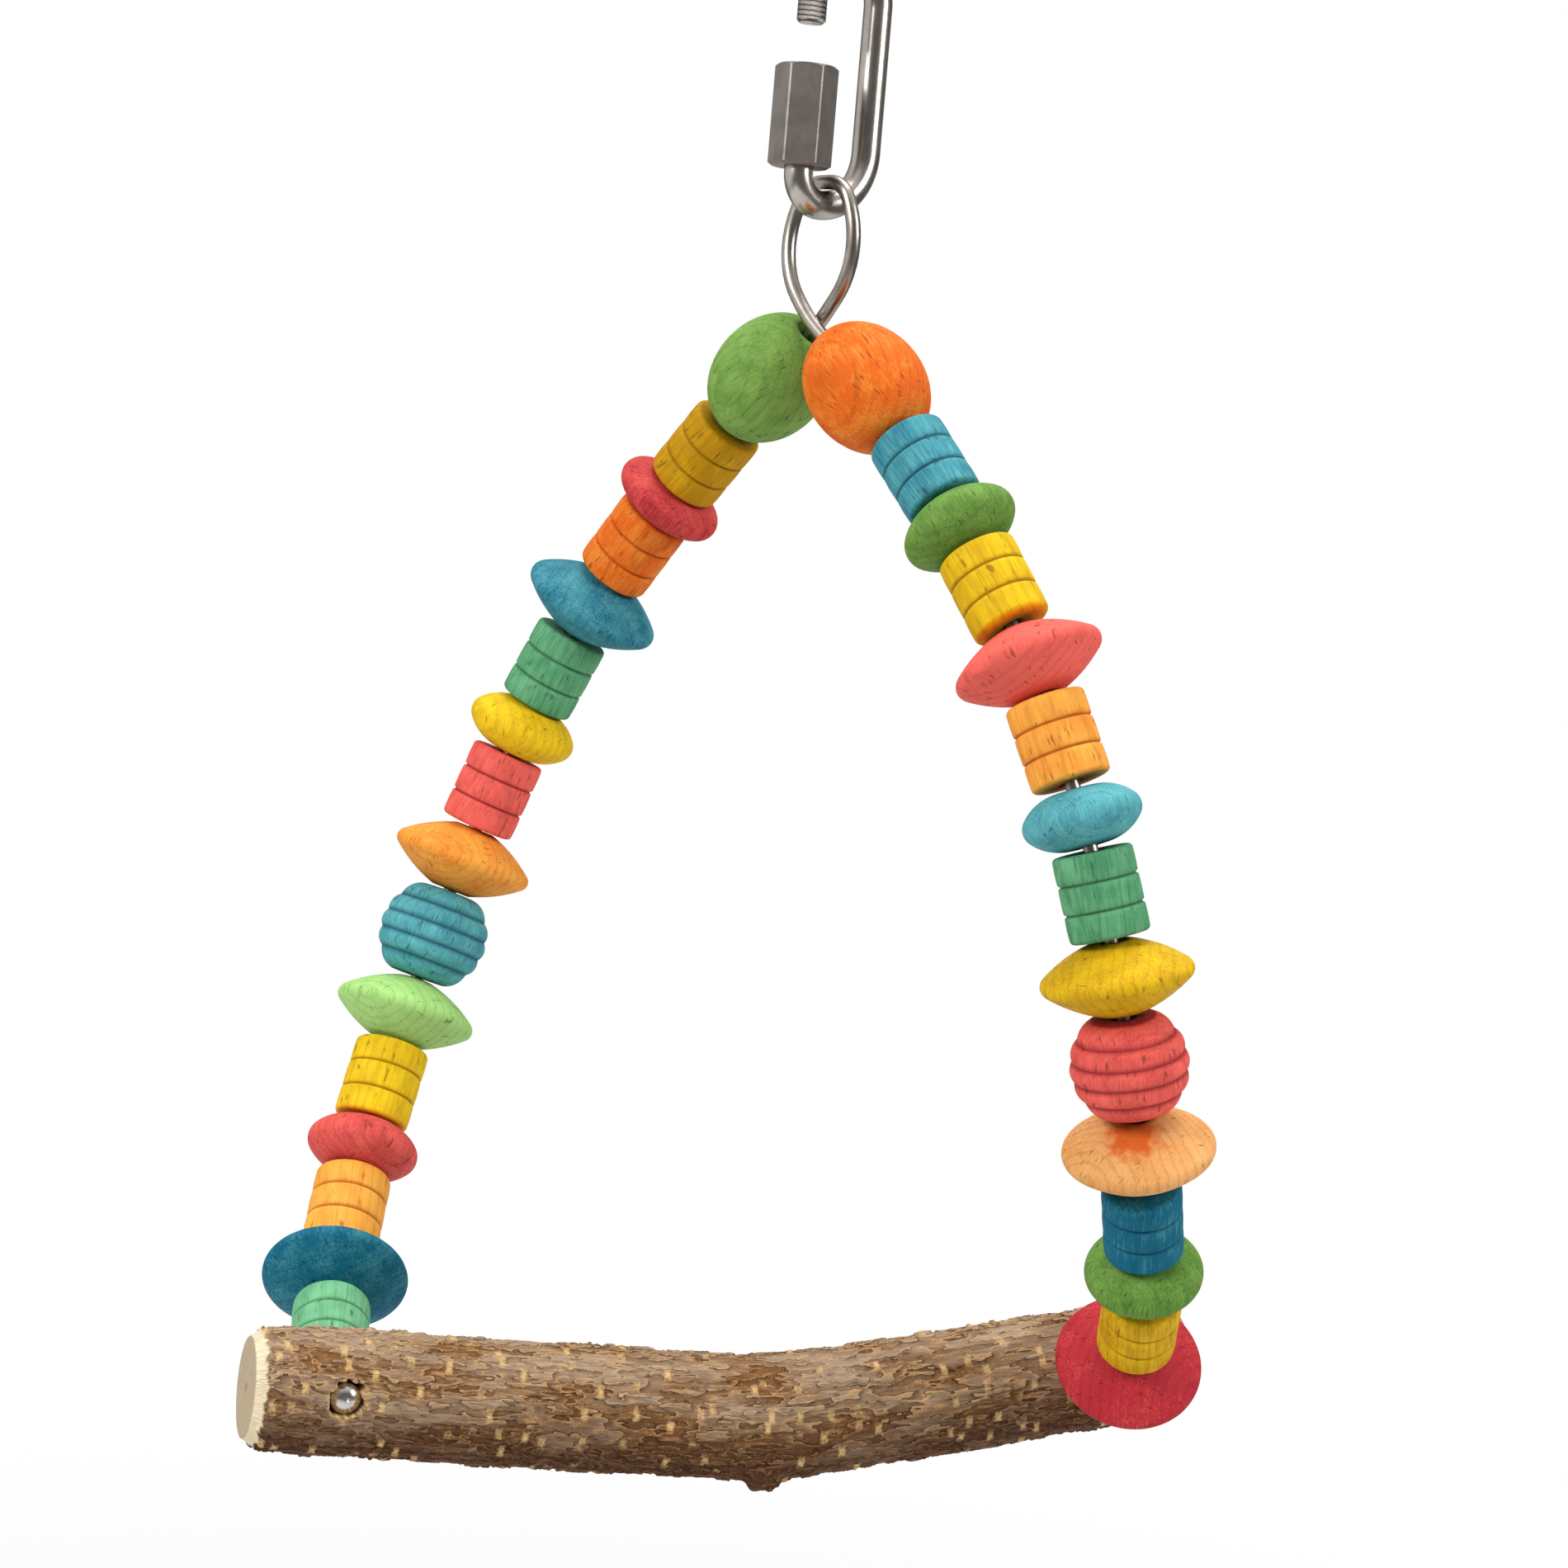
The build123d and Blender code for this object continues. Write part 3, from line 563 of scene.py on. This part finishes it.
def shade(*screen):
    """A colour as a screen shows it, 0 to 255, made linear."""
    linear = (((c / 255 + 0.055) / 1.055) ** 2.4 if c > 10 else c / 255 / 12.92 for c in screen)
    return (*linear, 1)


# Each bath: the colour where the dye stayed thin, and where the wood took it fully.
BATHS = {
    "green": (shade(138, 178, 88), shade(74, 118, 38)),
    "orange": (shade(252, 180, 74), shade(224, 100, 22)),
    "yellow": (shade(248, 206, 28), shade(186, 136, 4)),
    "red": (shade(242, 104, 92), shade(176, 40, 50)),
    "blue": (shade(98, 180, 186), shade(8, 98, 124)),
    "mint": (shade(130, 200, 150), shade(74, 142, 98)),
    "lime": (shade(172, 220, 130), shade(112, 178, 70)),
    "amber": (shade(240, 184, 118), shade(214, 140, 72)),
}
# The one amber saucer has a dark orange stain beside its hole.
STAIN = {"Stain Spot": (-0.0055, -0.0016, 0.0060), "Stain Reach": 0.0076, "Stain": shade(206, 84, 14)}
GRAIN_RELIEF = 0.00006
dyes = {}
for bath, (thin, full) in BATHS.items():
    stain = STAIN if bath == "amber" else {}
    dyes[bath] = finish_with(f"dyed_{bath}", dyed_grain_and_shade, {
        "Grain": "grain", "Pool": "pool_and_shade", "Take": "take_and_shade", "Lathe": "lathe",
        "Thin": thin, "Full": full, **stain}, GRAIN_RELIEF, Specular_IOR_Level=0.14)

# How far each bead took its dye, from 0 for a thin wash to 1 for full colour, where it isn't half way. The left_13
# barrel is given a deeper colour for the shade it hangs in: painted shade.
TAKE_AND_SHADE = {
    "left_01_barrel": 0.3, "left_02_saucer": 0.9, "left_03_barrel": 0.1, "left_04_rondelle": 0.4,
    "left_05_barrel": 0.25, "left_06_saucer": 0.05, "left_07_ball": 0.25, "left_08_saucer": 0.4,
    "left_09_barrel": 0.15, "left_10_rondelle": 0.3, "left_11_barrel": 0.7, "left_12_saucer": 0.7,
    "left_13_barrel": 0.85, "left_14_thin_rondelle": 0.7, "left_15_barrel": 1.0, "left_16_egg": 0.38,
    "right_01_saucer": 1.0, "right_02_barrel": 0.75, "right_03_rondelle": 0.7, "right_04_barrel": 1.0,
    "right_06_ball": 0.25, "right_07_saucer": 0.6, "right_08_barrel": 0.8, "right_09_rondelle": 0.25,
    "right_10_barrel": 0.3, "right_11_saucer": 0.0, "right_12_barrel": 0.4, "right_13_rondelle": 0.6,
    "right_15_egg": 0.9,
}
HALF_WAY = 0.5
# How far the hole wall and mouth are darkened, as pooling dye and painted shade, and how far out from the hole
# that reaches.
POOL_AND_SHADE_AT_HOLE = 0.55
POOL_AND_SHADE_REACH = 0.9
GROOVES_WITHIN = 5
BALL_FLAT = 5.5


def dye_pool_and_shade(kind, points):
    """How much dye pools at each point of an outline, 0 to 1: in its grooves and at its hole. It is also painted
    shade in these recesses.
    """
    across, height = points.T
    pool_and_shade = np.zeros(len(points))
    if kind == "barrel":
        pool_and_shade = np.clip((max(across) - 0.12 - across) / 0.5, 0, 1) * (abs(height) < GROOVES_WITHIN)
    if kind == "ball":
        pool_and_shade = np.clip((ball_crest(height) - across - 0.2) / 0.4, 0, 1) * (across > BALL_FLAT)
    return np.maximum(pool_and_shade, POOL_AND_SHADE_AT_HOLE * (across < HOLE + POOL_AND_SHADE_REACH))


def outline_mesh(kind):
    """The bead's outline as a loop of edges, with how much dye pools at each point of it, which is also painted
    shade.
    """
    points = np.array(OUTLINES[kind])
    mesh = bpy.data.meshes.new(f"{kind}_outline")
    loop = [(k, (k + 1) % len(points)) for k in range(len(points))]
    mesh.from_pydata([(r * MM, 0, z * MM) for r, z in points], loop, [])
    pool_and_shade = mesh.attributes.new("pool_and_shade", "FLOAT", "POINT")
    pool_and_shade.data.foreach_set("value", dye_pool_and_shade(kind, points).astype(np.float32))
    return mesh


def made_by(tree, mesh, settings):
    """Runs a geometry tree on a mesh and gives the plain mesh that comes out."""
    maker = bpy.data.objects.new("maker", mesh)
    scene.collection.objects.link(maker)
    modifier = maker.modifiers.new("tree", "NODES")
    modifier.node_group = tree
    names = {item.name: item.identifier for item in tree.interface.items_tree if item.in_out == "INPUT"}
    for label, value in settings.items():
        modifier[names[label]] = value
    seen = bpy.context.evaluated_depsgraph_get()
    shaped = maker.evaluated_get(seen)
    result = bpy.data.meshes.new_from_object(shaped, preserve_all_data_layers=True, depsgraph=seen)
    bpy.data.objects.remove(maker)
    return result


outline_meshes = {kind: outline_mesh(kind) for kind in OUTLINES}
slots = {part["node"]: part["material_slot"] for part in frame["record"]["subparts"]}
draw = np.random.default_rng(BEAD_SEED)
for joint in frame["joints"]:
    if not joint["name"].startswith("spin_"):
        continue
    node = joint["name"].removeprefix("spin_")
    kind = node.split("_", 2)[2]
    slot = slots[node]
    lean = Vector(joint["axis"]).to_track_quat("Z", "X")
    spin = draw.uniform(0, math.tau)
    grain_turn = (draw.uniform(-GRAIN_LEAN, GRAIN_LEAN), draw.uniform(-GRAIN_LEAN, GRAIN_LEAN), spin)
    log_spot = (draw.uniform(*LOG_RADII), draw.uniform(-LOG_ASIDE, LOG_ASIDE), draw.uniform(-1, 1))
    mesh = made_by(turning, outline_meshes[kind], {
        "Facets": FACETS, "Spot": joint["pos_m"], "Lean": lean.to_euler(), "Grain Turn": grain_turn,
        "Log Spot": log_spot, "Unevenness": UNEVENNESS, "Take": TAKE_AND_SHADE.get(node, HALF_WAY),
        "Dye": dyes[slot.removeprefix("dyed_")]})
    mesh.name = node
    bead = bpy.data.objects.new(f"{node}_bead", mesh)
    scene.collection.objects.link(bead)
    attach(bead, f"bead_{node}")
    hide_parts(node)


# Perch: a length of natural branch with its bark on, sawn square at both ends and drilled across for the
# wire. The bark is in thin layers that lift and flake along the branch, with pale pores running round it.
# The stub of a twig stands out below, where the branch bends.
BRANCH_RADIUS = 13.0
BRANCH_BEND = 200.0
BRANCH_POINTS = (
    Vector((-101.96, -8.19, -294.66)),
    Vector((6.84, -6.19, -298.86)),
    Vector((96.04, -4.79, -282.65)),
)
ROW_GAP = 0.44
END_ROW_GAP = 0.22
END_ROWS = 16
FACE_ROWS = 10
COLUMNS = 192
KNOT_ALONG = 106.4
KNOT_TURN = -2.05
KNOT_STAND = 0.0029
KNOT_REACH = 0.0105
CROWN_TEAR = 0.0026
CROWN_EDGE = (0.0056, 0.0034)
BARK_LAYER = 0.00036
BARK_LUMPS = 0.0007
BARK_GRIT = 0.00025
MEAN_LAYERS = 4.6
FIBRE_RELIEF = 0.00028
PORE_RELIEF = 0.00022
BARK_SINK = 0.00035
PORES_PER_METRE = 172.0
PORE_NARROW = 1420.0
PORE_LONG = 700.0
# The ring without bark at the left end: its length, its depth at the saw cut and at the bark, its fibres.
BARE_RING = 0.003
BARE_DEPTHS = (-0.0017, -0.0007)
BARE_FIBRES = 0.0003
END_WEAR = 0.0012
END_WEAR_REACH = 0.004
# Where each drilled hole comes out: X and Z of the wire's foot, its side in Y, its width and its depth.
LEFT_FOOT = (-83.56, -294.46)
RIGHT_FOOT = (79.24, -287.05)
HOLES = (
    (LEFT_FOOT, -1, 7.0, 5.6),
    (LEFT_FOOT, 1, 5.4, 5.0),
    (RIGHT_FOOT, 1, 7.2, 5.6),
    (RIGHT_FOOT, -1, 5.4, 5.0),
)
HOLE_TEAR = 5.0
ALL_ROUND = (0, 1, 1)


def branch_line(along):
    """Centre and heading of the branch at a length along it: two straight runs joined by one wide bend."""
    left, corner, end = BRANCH_POINTS
    first, second = (corner - left).normalized(), (end - corner).normalized()
    turn = first.angle(second)
    cut = BRANCH_BEND * math.tan(turn / 2)
    start = (corner - left).length - cut
    if along < start:
        return left + first * along, first
    inward = (second - first * first.dot(second)).normalized()
    swept = (along - start) / BRANCH_BEND
    if swept < turn:
        centre = left + first * start + inward * BRANCH_BEND
        heading = first * math.cos(swept) + inward * math.sin(swept)
        return centre + (first * math.sin(swept) - inward * math.cos(swept)) * BRANCH_BEND, heading
    return corner + second * (cut + along - start - turn * BRANCH_BEND), second


def branch_length():
    left, corner, end = BRANCH_POINTS
    turn = (corner - left).angle(end - corner)
    return (corner - left).length + (end - corner).length - BRANCH_BEND * (2 * math.tan(turn / 2) - turn)


def branch_rows(length):
    """Length along the branch, radius, and 1 for sawn wood, row by row from the left face to the right."""
    ends = [END_ROW_GAP * k for k in range(1, END_ROWS + 1)]
    middle_rows = round((length - 2 * ends[-1]) / ROW_GAP)
    middle = np.linspace(ends[-1], length - ends[-1], middle_rows)[1:-1]
    face = [BRANCH_RADIUS * k / FACE_ROWS for k in range(1, FACE_ROWS + 1)]
    side = (*ends, *middle, *(length - gap for gap in reversed(ends)))
    rows = [(0.0, radius, 1.0) for radius in face]
    rows += [(along, BRANCH_RADIUS, 0.0) for along in side]
    return rows + [(length, radius, 1.0) for radius in reversed(face)]


def branch_mesh():
    """A closed tube along the branch with even faces, and each point's place on the straightened branch."""
    length = branch_length()
    rows = branch_rows(length)
    turns = np.arange(COLUMNS) * math.tau / COLUMNS
    places, straight, outward, sawn, end_gaps = [], [], [], [], []
    for along, radius, wood in rows:
        centre, heading = branch_line(along)
        up = (Vector((0, 0, 1)) - heading * heading.z).normalized()
        ring = np.outer(np.cos(turns), up.cross(heading)) + np.outer(np.sin(turns), up)
        places.append(np.array(centre) + ring * radius)
        straight.append(np.column_stack(
            (np.full(COLUMNS, along), np.cos(turns) * radius, np.sin(turns) * radius)))
        outward.append(ring)
        sawn.append(np.full(COLUMNS, wood))
        end_gaps.append(np.full(COLUMNS, min(along, length - along)))
    for along in (0.0, length):
        places.append(np.array(branch_line(along)[0]))
        straight.append(np.array((along, 0, 0)))
    stored = {
        "branch": np.vstack(straight) * MM,
        "outward": np.vstack(outward + [np.zeros(3)] * 2),
        "sawn": np.concatenate(sawn + [np.ones(2)]),
        "end_gap": np.concatenate(end_gaps + [np.zeros(2)]) * MM,
    }
    last = (len(rows) - 1) * COLUMNS
    left_hub, right_hub = last + COLUMNS, last + COLUMNS + 1
    faces = []
    for row in range(0, last, COLUMNS):
        for k in range(COLUMNS):
            after = (k + 1) % COLUMNS
            faces.append((row + k, row + after, row + COLUMNS + after, row + COLUMNS + k))
    for k in range(COLUMNS):
        after = (k + 1) % COLUMNS
        faces.append((left_hub, after, k))
        faces.append((right_hub, last + k, last + after))
    mesh = bpy.data.meshes.new("branch")
    mesh.from_pydata((np.vstack(places) * MM).tolist(), [], faces)
    for name, values in stored.items():
        kind, entry = ("FLOAT_VECTOR", "vector") if values.ndim == 2 else ("FLOAT", "value")
        layer = mesh.attributes.new(name, kind, "POINT")
        layer.data.foreach_set(entry, values.astype(np.float32).ravel())
    return mesh


def weathered(tree, where):
    """1 where the bark has gone scaly: at the left end, underneath and in patches; 0 where it is smooth."""
    spot = split(tree, where)
    patch = noise(tree, stretched(tree, where, (26, 85, 85)), 1.0, 2.0)
    patches = spread(tree, patch, 0.45, 0.62, 0.12, 0.8)
    left_end = spread(tree, spot["X"], 0.075, 0.035, 0.0, 0.9)
    underneath = spread(tree, spot["Z"], 0.0, -0.009)
    return number(tree, "MAXIMUM", patches, number(tree, "MAXIMUM", left_end, underneath))


def bark_layers(tree, where):
    """How many layers of bark are left, with a fraction that runs up to the next layer's torn edge."""
    wave = place(tree, "ShaderNodeTexNoise", {"Vector": where, "Scale": 260.0, "Detail": 2.0})
    shift = arrow(tree, "SUBTRACT", wave.outputs["Color"], (0.5, 0.5, 0.5))
    warped = arrow(tree, "MULTIPLY_ADD", shift, (0.0022, 0.0012, 0.0012), where)
    plates = noise(tree, stretched(tree, warped, (52, 200, 200)), 1.0, 3.0, 0.55)
    scales = minus(tree, noise(tree, stretched(tree, warped, (105, 520, 520)), 1.0, 2.0, 0.5), 0.5)
    scaly = times(tree, scales, times(tree, weathered(tree, where), 7.0))
    return times_plus(tree, plates, 8.0, scaly)


def pores(tree, where):
    """1 in the middle of each pore, 0 away from them: narrow along the branch and longer round it."""
    cells = place(tree, "ShaderNodeTexVoronoi", {
        "Vector": where, "Scale": PORES_PER_METRE, "Randomness": 1.0}, feature="F1")
    gap = arrow(tree, "SUBTRACT", where, cells.outputs["Position"])
    along = times(tree, number(tree, "ABSOLUTE", split(tree, gap)["X"]), PORE_NARROW)
    round_it = times(tree, arrow(tree, "LENGTH", stretched(tree, gap, ALL_ROUND)), PORE_LONG)
    far = minus(tree, number(tree, "MAXIMUM", along, round_it), 0.75)
    ragged = times_plus(tree, noise(tree, where, 1500.0, 4.0, 0.7), 1.5, far)
    return spread(tree, ragged, 1.20, 0.35)


def bark_left(tree, where):
    """1 under bark, 0 on the bare ring beside the left sawn end, with a torn edge between."""
    torn = noise(tree, stretched(tree, where, (120, 420, 420)), 1.0, 3.0)
    return spread(tree, times_plus(tree, torn, 0.0032, split(tree, where)["X"]), 0.0034, 0.0038)


def from_spot(tree, where, spot, squeeze):
    """Distance from a spot on the straightened branch, squeezed along and round it."""
    return arrow(tree, "LENGTH", stretched(tree, arrow(tree, "SUBTRACT", where, spot), squeeze))


flaking, given, out = new_group(
    "flaking_bark", "GeometryNodeTree",
    [("Tube", "NodeSocketGeometry"), ("Layer", "NodeSocketFloat", BARK_LAYER),
     ("Lumps", "NodeSocketFloat", BARK_LUMPS), ("Knot", "NodeSocketVector"),
     ("Knot Stand", "NodeSocketFloat", KNOT_STAND), ("Bark", "NodeSocketMaterial")],
    [("Branch", "NodeSocketGeometry")])
where = told(flaking, "branch", "FLOAT_VECTOR")
outward = told(flaking, "outward", "FLOAT_VECTOR")
layers = bark_layers(flaking, where)
in_layer = number(flaking, "FRACT", layers)
curl = spread(flaking, in_layer, 0.0, 0.5, 0.7, 0.0, "SMOOTHSTEP")
rise = spread(flaking, in_layer, 0.80, 1.0, 0.0, 1.7, "SMOOTHSTEP")
whole_layers = minus(flaking, number(flaking, "FLOOR", layers), MEAN_LAYERS)
terrace = plus(flaking, whole_layers, plus(flaking, curl, rise))
fibres = minus(flaking, noise(flaking, stretched(flaking, where, (110, 1500, 1500)), 1.0, 3.0), 0.5)
swell = minus(flaking, noise(flaking, where, 32.0, 2.0), 0.5)
skin = times_plus(flaking, fibres, FIBRE_RELIEF, times(flaking, terrace, given["Layer"]))
skin = times_plus(flaking, pores(flaking, where), PORE_RELIEF, skin)
skin = minus(flaking, skin, BARK_SINK)

from_knot = from_spot(flaking, where, given["Knot"], (0.8, 1, 1))
knot_mass = spread(flaking, from_knot, KNOT_REACH, 0.0, how="SMOOTHSTEP")
from_crown = from_spot(flaking, where, given["Knot"], (1, 0.7, 0.7))
torn_crown = times_plus(flaking, noise(flaking, where, 700.0, 3.0), CROWN_TEAR, from_crown)
knot_crown = spread(flaking, torn_crown, *CROWN_EDGE, how="SMOOTHSTEP")
knot = times_plus(flaking, knot_crown, 0.72, times(flaking, knot_mass, 0.35))
skin = plus(flaking, skin, times(flaking, knot, given["Knot Stand"]))

bare = spread(flaking, split(flaking, where)["X"], 0.0, BARE_RING, *BARE_DEPTHS)
bare = times_plus(flaking, fibres, BARE_FIBRES, bare)
skin = between(flaking, bark_left(flaking, where), bare, skin)
skin = times_plus(flaking, swell, given["Lumps"], skin)
end_gap = told(flaking, "end_gap", "FLOAT")
skin = plus(flaking, skin, spread(flaking, end_gap, 0.0, END_WEAR_REACH, -END_WEAR, 0.0))
from_pith = arrow(flaking, "LENGTH", stretched(flaking, where, ALL_ROUND))
face_share = number(flaking, "DIVIDE", from_pith, BRANCH_RADIUS * MM)
skin = times(flaking, skin, between(flaking, told(flaking, "sawn", "FLOAT"), 1.0, face_share))
shape = place(flaking, "GeometryNodeSetPosition", {
    "Geometry": given["Tube"], "Offset": scaled(flaking, outward, skin)}).outputs[0]

# The drilled holes are let in from the surface, each with a broken edge where the bark tore.
in_plan = stretched(flaking, place(flaking, "GeometryNodeInputPosition").outputs[0], (1, 0, 1))
tear = times(flaking, noise(flaking, in_plan, 330.0, 2.0), HOLE_TEAR * MM)
faces_back = split(flaking, outward)["Y"]
let_in, pit, lip = 0.0, 0.0, 0.0
for (hole_x, hole_z), side, width, depth in HOLES:
    to_hole = arrow(flaking, "DISTANCE", in_plan, (hole_x * MM, 0, hole_z * MM))
    past_edge = minus(flaking, plus(flaking, to_hole, tear), (width / 2 + HOLE_TEAR / 2) * MM)
    on_side = number(flaking, "GREATER_THAN", times(flaking, faces_back, float(side)), 0.3)
    inside = times(flaking, spread(flaking, past_edge, 0.00015, -0.00015), on_side)
    rim = times(flaking, spread(flaking, past_edge, 0.0009, 0.0003), on_side)
    let_in = times_plus(flaking, inside, -side * depth * MM, let_in)
    pit = number(flaking, "MAXIMUM", pit, inside)
    lip = number(flaking, "MAXIMUM", lip, rim)
shape = marked(flaking, shape, "pit", pit)
shape = marked(flaking, shape, "lip", lip)
inward = place(flaking, "ShaderNodeCombineXYZ", {"Y": let_in}).outputs[0]
shape = place(flaking, "GeometryNodeSetPosition", {"Geometry": shape, "Offset": inward}).outputs[0]
hand_over(flaking, shape, given["Bark"], out["Branch"])

bark_skin, given, out = new_group(
    "bark_skin", "ShaderNodeTree",
    [("Branch", "NodeSocketVector"), ("Sawn", "NodeSocketFloat"), ("Pit", "NodeSocketFloat"),
     ("Lip", "NodeSocketFloat"), ("Grey", "NodeSocketColor"), ("Brown", "NodeSocketColor"),
     ("Torn", "NodeSocketColor"), ("Crack", "NodeSocketColor"), ("Pore", "NodeSocketColor"),
     ("Wood", "NodeSocketColor"), ("Bare", "NodeSocketColor")], FINISH)
where = given["Branch"]
layers = bark_layers(bark_skin, where)
in_layer = number(bark_skin, "FRACT", layers)
# Painted shade: towards the underside the bark is made browner and darker, as the shade under the branch.
under = spread(bark_skin, split(bark_skin, where)["Z"], 0.003, -0.009)
patch = noise(bark_skin, stretched(bark_skin, where, (45, 130, 130)), 1.0, 3.0)
fine = noise(bark_skin, stretched(bark_skin, where, (260, 3600, 3600)), 1.0, 3.0, 0.6)
dust = noise(bark_skin, where, 1900.0, 3.0)

tone_and_shade = plus(bark_skin, times(bark_skin, under, 0.75), spread(bark_skin, patch, 0.38, 0.62))
tone_and_shade = plus(bark_skin, tone_and_shade, spread(bark_skin, number(bark_skin, "FLOOR", layers), 5.0, 2.0, -0.45, 0.6))
plate = blend(bark_skin, spread(bark_skin, tone_and_shade, 0.0, 1.2), given["Grey"], given["Brown"])
plate = blend(bark_skin, spread(bark_skin, fine, 0.35, 0.7, 0.0, 0.55), plate, given["Crack"])
plate = blend(bark_skin, spread(bark_skin, dust, 0.5, 0.75, 0.0, 0.30), plate, given["Torn"])
dusty = spread(bark_skin, dust, 0.30, 0.6, 0.35, 1.0)
torn_edge = times(bark_skin, spread(bark_skin, in_layer, 0.42, 0.03), dusty)
plate = blend(bark_skin, times(bark_skin, torn_edge, 0.66), plate, given["Torn"])
patchy = spread(bark_skin, patch, 0.30, 0.55, 0.5, 1.0)
# Painted shadow: a dark line is painted below each layer's torn edge, where the lifted layer shades the one
# beneath. The same mask also sinks cracks into the bump.
crack_and_shadow = times(bark_skin, spread(bark_skin, in_layer, 0.84, 0.97), patchy)
plate = blend(bark_skin, times(bark_skin, crack_and_shadow, 0.85), plate, given["Crack"])
# Painted shade: the underside is darkened with brown.
shaded_below = blend(bark_skin, 1.0, plate, given["Brown"], "MULTIPLY")
plate = blend(bark_skin, times(bark_skin, under, 0.74), plate, shaded_below)
pore = times(bark_skin, pores(bark_skin, where), spread(bark_skin, dust, 0.3, 0.65, 0.55, 1.0))
plate = blend(bark_skin, pore, plate, given["Pore"])

from_pith = arrow(bark_skin, "LENGTH", stretched(bark_skin, where, ALL_ROUND))
wavy = times_plus(bark_skin, noise(bark_skin, where, 220.0, 2.0), 0.0012, from_pith)
year = number(bark_skin, "FRACT", times(bark_skin, wavy, 620.0))
wood = blend(bark_skin, spread(bark_skin, year, 0.6, 1.0, 0.0, 0.28), given["Wood"], given["Torn"])
wood = blend(bark_skin, spread(bark_skin, from_pith, 0.0018, 0.0006, 0.0, 0.5), wood, given["Brown"])
wood = blend(bark_skin, spread(bark_skin, dust, 0.4, 0.7, 0.0, 0.25), wood, given["Grey"])

bare = blend(bark_skin, spread(bark_skin, fine, 0.4, 0.7, 0.0, 0.35), given["Bare"], given["Torn"])
surface = blend(bark_skin, bark_left(bark_skin, where), bare, plate)
lip_share = times(bark_skin, given["Lip"], spread(bark_skin, dust, 0.35, 0.6, 0.3, 1.0))
surface = blend(bark_skin, lip_share, surface, given["Pore"])
# Painted shade: the inside of each drilled hole is painted the near-black colour of cracks, as the shade in the
# hole.
surface = blend(bark_skin, given["Pit"], surface, given["Crack"])
bark_skin.links.new(blend(bark_skin, given["Sawn"], surface, wood), out["Color"])
bark_skin.links.new(spread(bark_skin, dust, 0.3, 0.7, 0.62, 0.86), out["Roughness"])
grit = times_plus(bark_skin, fine, 0.7, times(bark_skin, dust, 0.5))
bark_skin.links.new(times_plus(bark_skin, crack_and_shadow, -0.6, grit), out["Height"])

# The near-black colour of fine cracks is also painted as shadow under the lifted layers and as shade inside the
# drilled holes.
bark = finish_with("bark", bark_skin, {
    "Branch": "branch", "Sawn": "sawn", "Pit": "pit", "Lip": "lip",
    "Grey": shade(178, 154, 128), "Brown": shade(128, 86, 46), "Torn": shade(214, 166, 110),
    "Crack": shade(44, 27, 13), "Pore": shade(230, 190, 128), "Wood": shade(194, 176, 146),
    "Bare": shade(238, 224, 190)}, BARK_GRIT, Specular_IOR_Level=0.25)
knot_round = BRANCH_RADIUS * MM
knot_spot = (KNOT_ALONG * MM, knot_round * math.cos(KNOT_TURN), knot_round * math.sin(KNOT_TURN))
mesh = made_by(flaking, branch_mesh(), {
    "Layer": BARK_LAYER, "Lumps": BARK_LUMPS, "Knot": knot_spot, "Knot Stand": KNOT_STAND, "Bark": bark})
mesh.name = "perch_branch"
perch = bpy.data.objects.new("perch_branch", mesh)
scene.collection.objects.link(perch)
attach(perch, "swing")
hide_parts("perch")


# End caps: small bright steel domes on the two ends of the wire, let into the holes of the perch, so that
# no sharp wire end is left for a bird to find.
cap_steel = steel("cap_steel", metal=(0.72, 0.70, 0.68), tarnish=(0.52, 0.49, 0.46),
                  lines=(900, 900, 900), smooth=0.14, rough=0.28, depth=0.00001)
for cap in ("left_cap", "right_cap"):
    dress(cap, cap_steel)
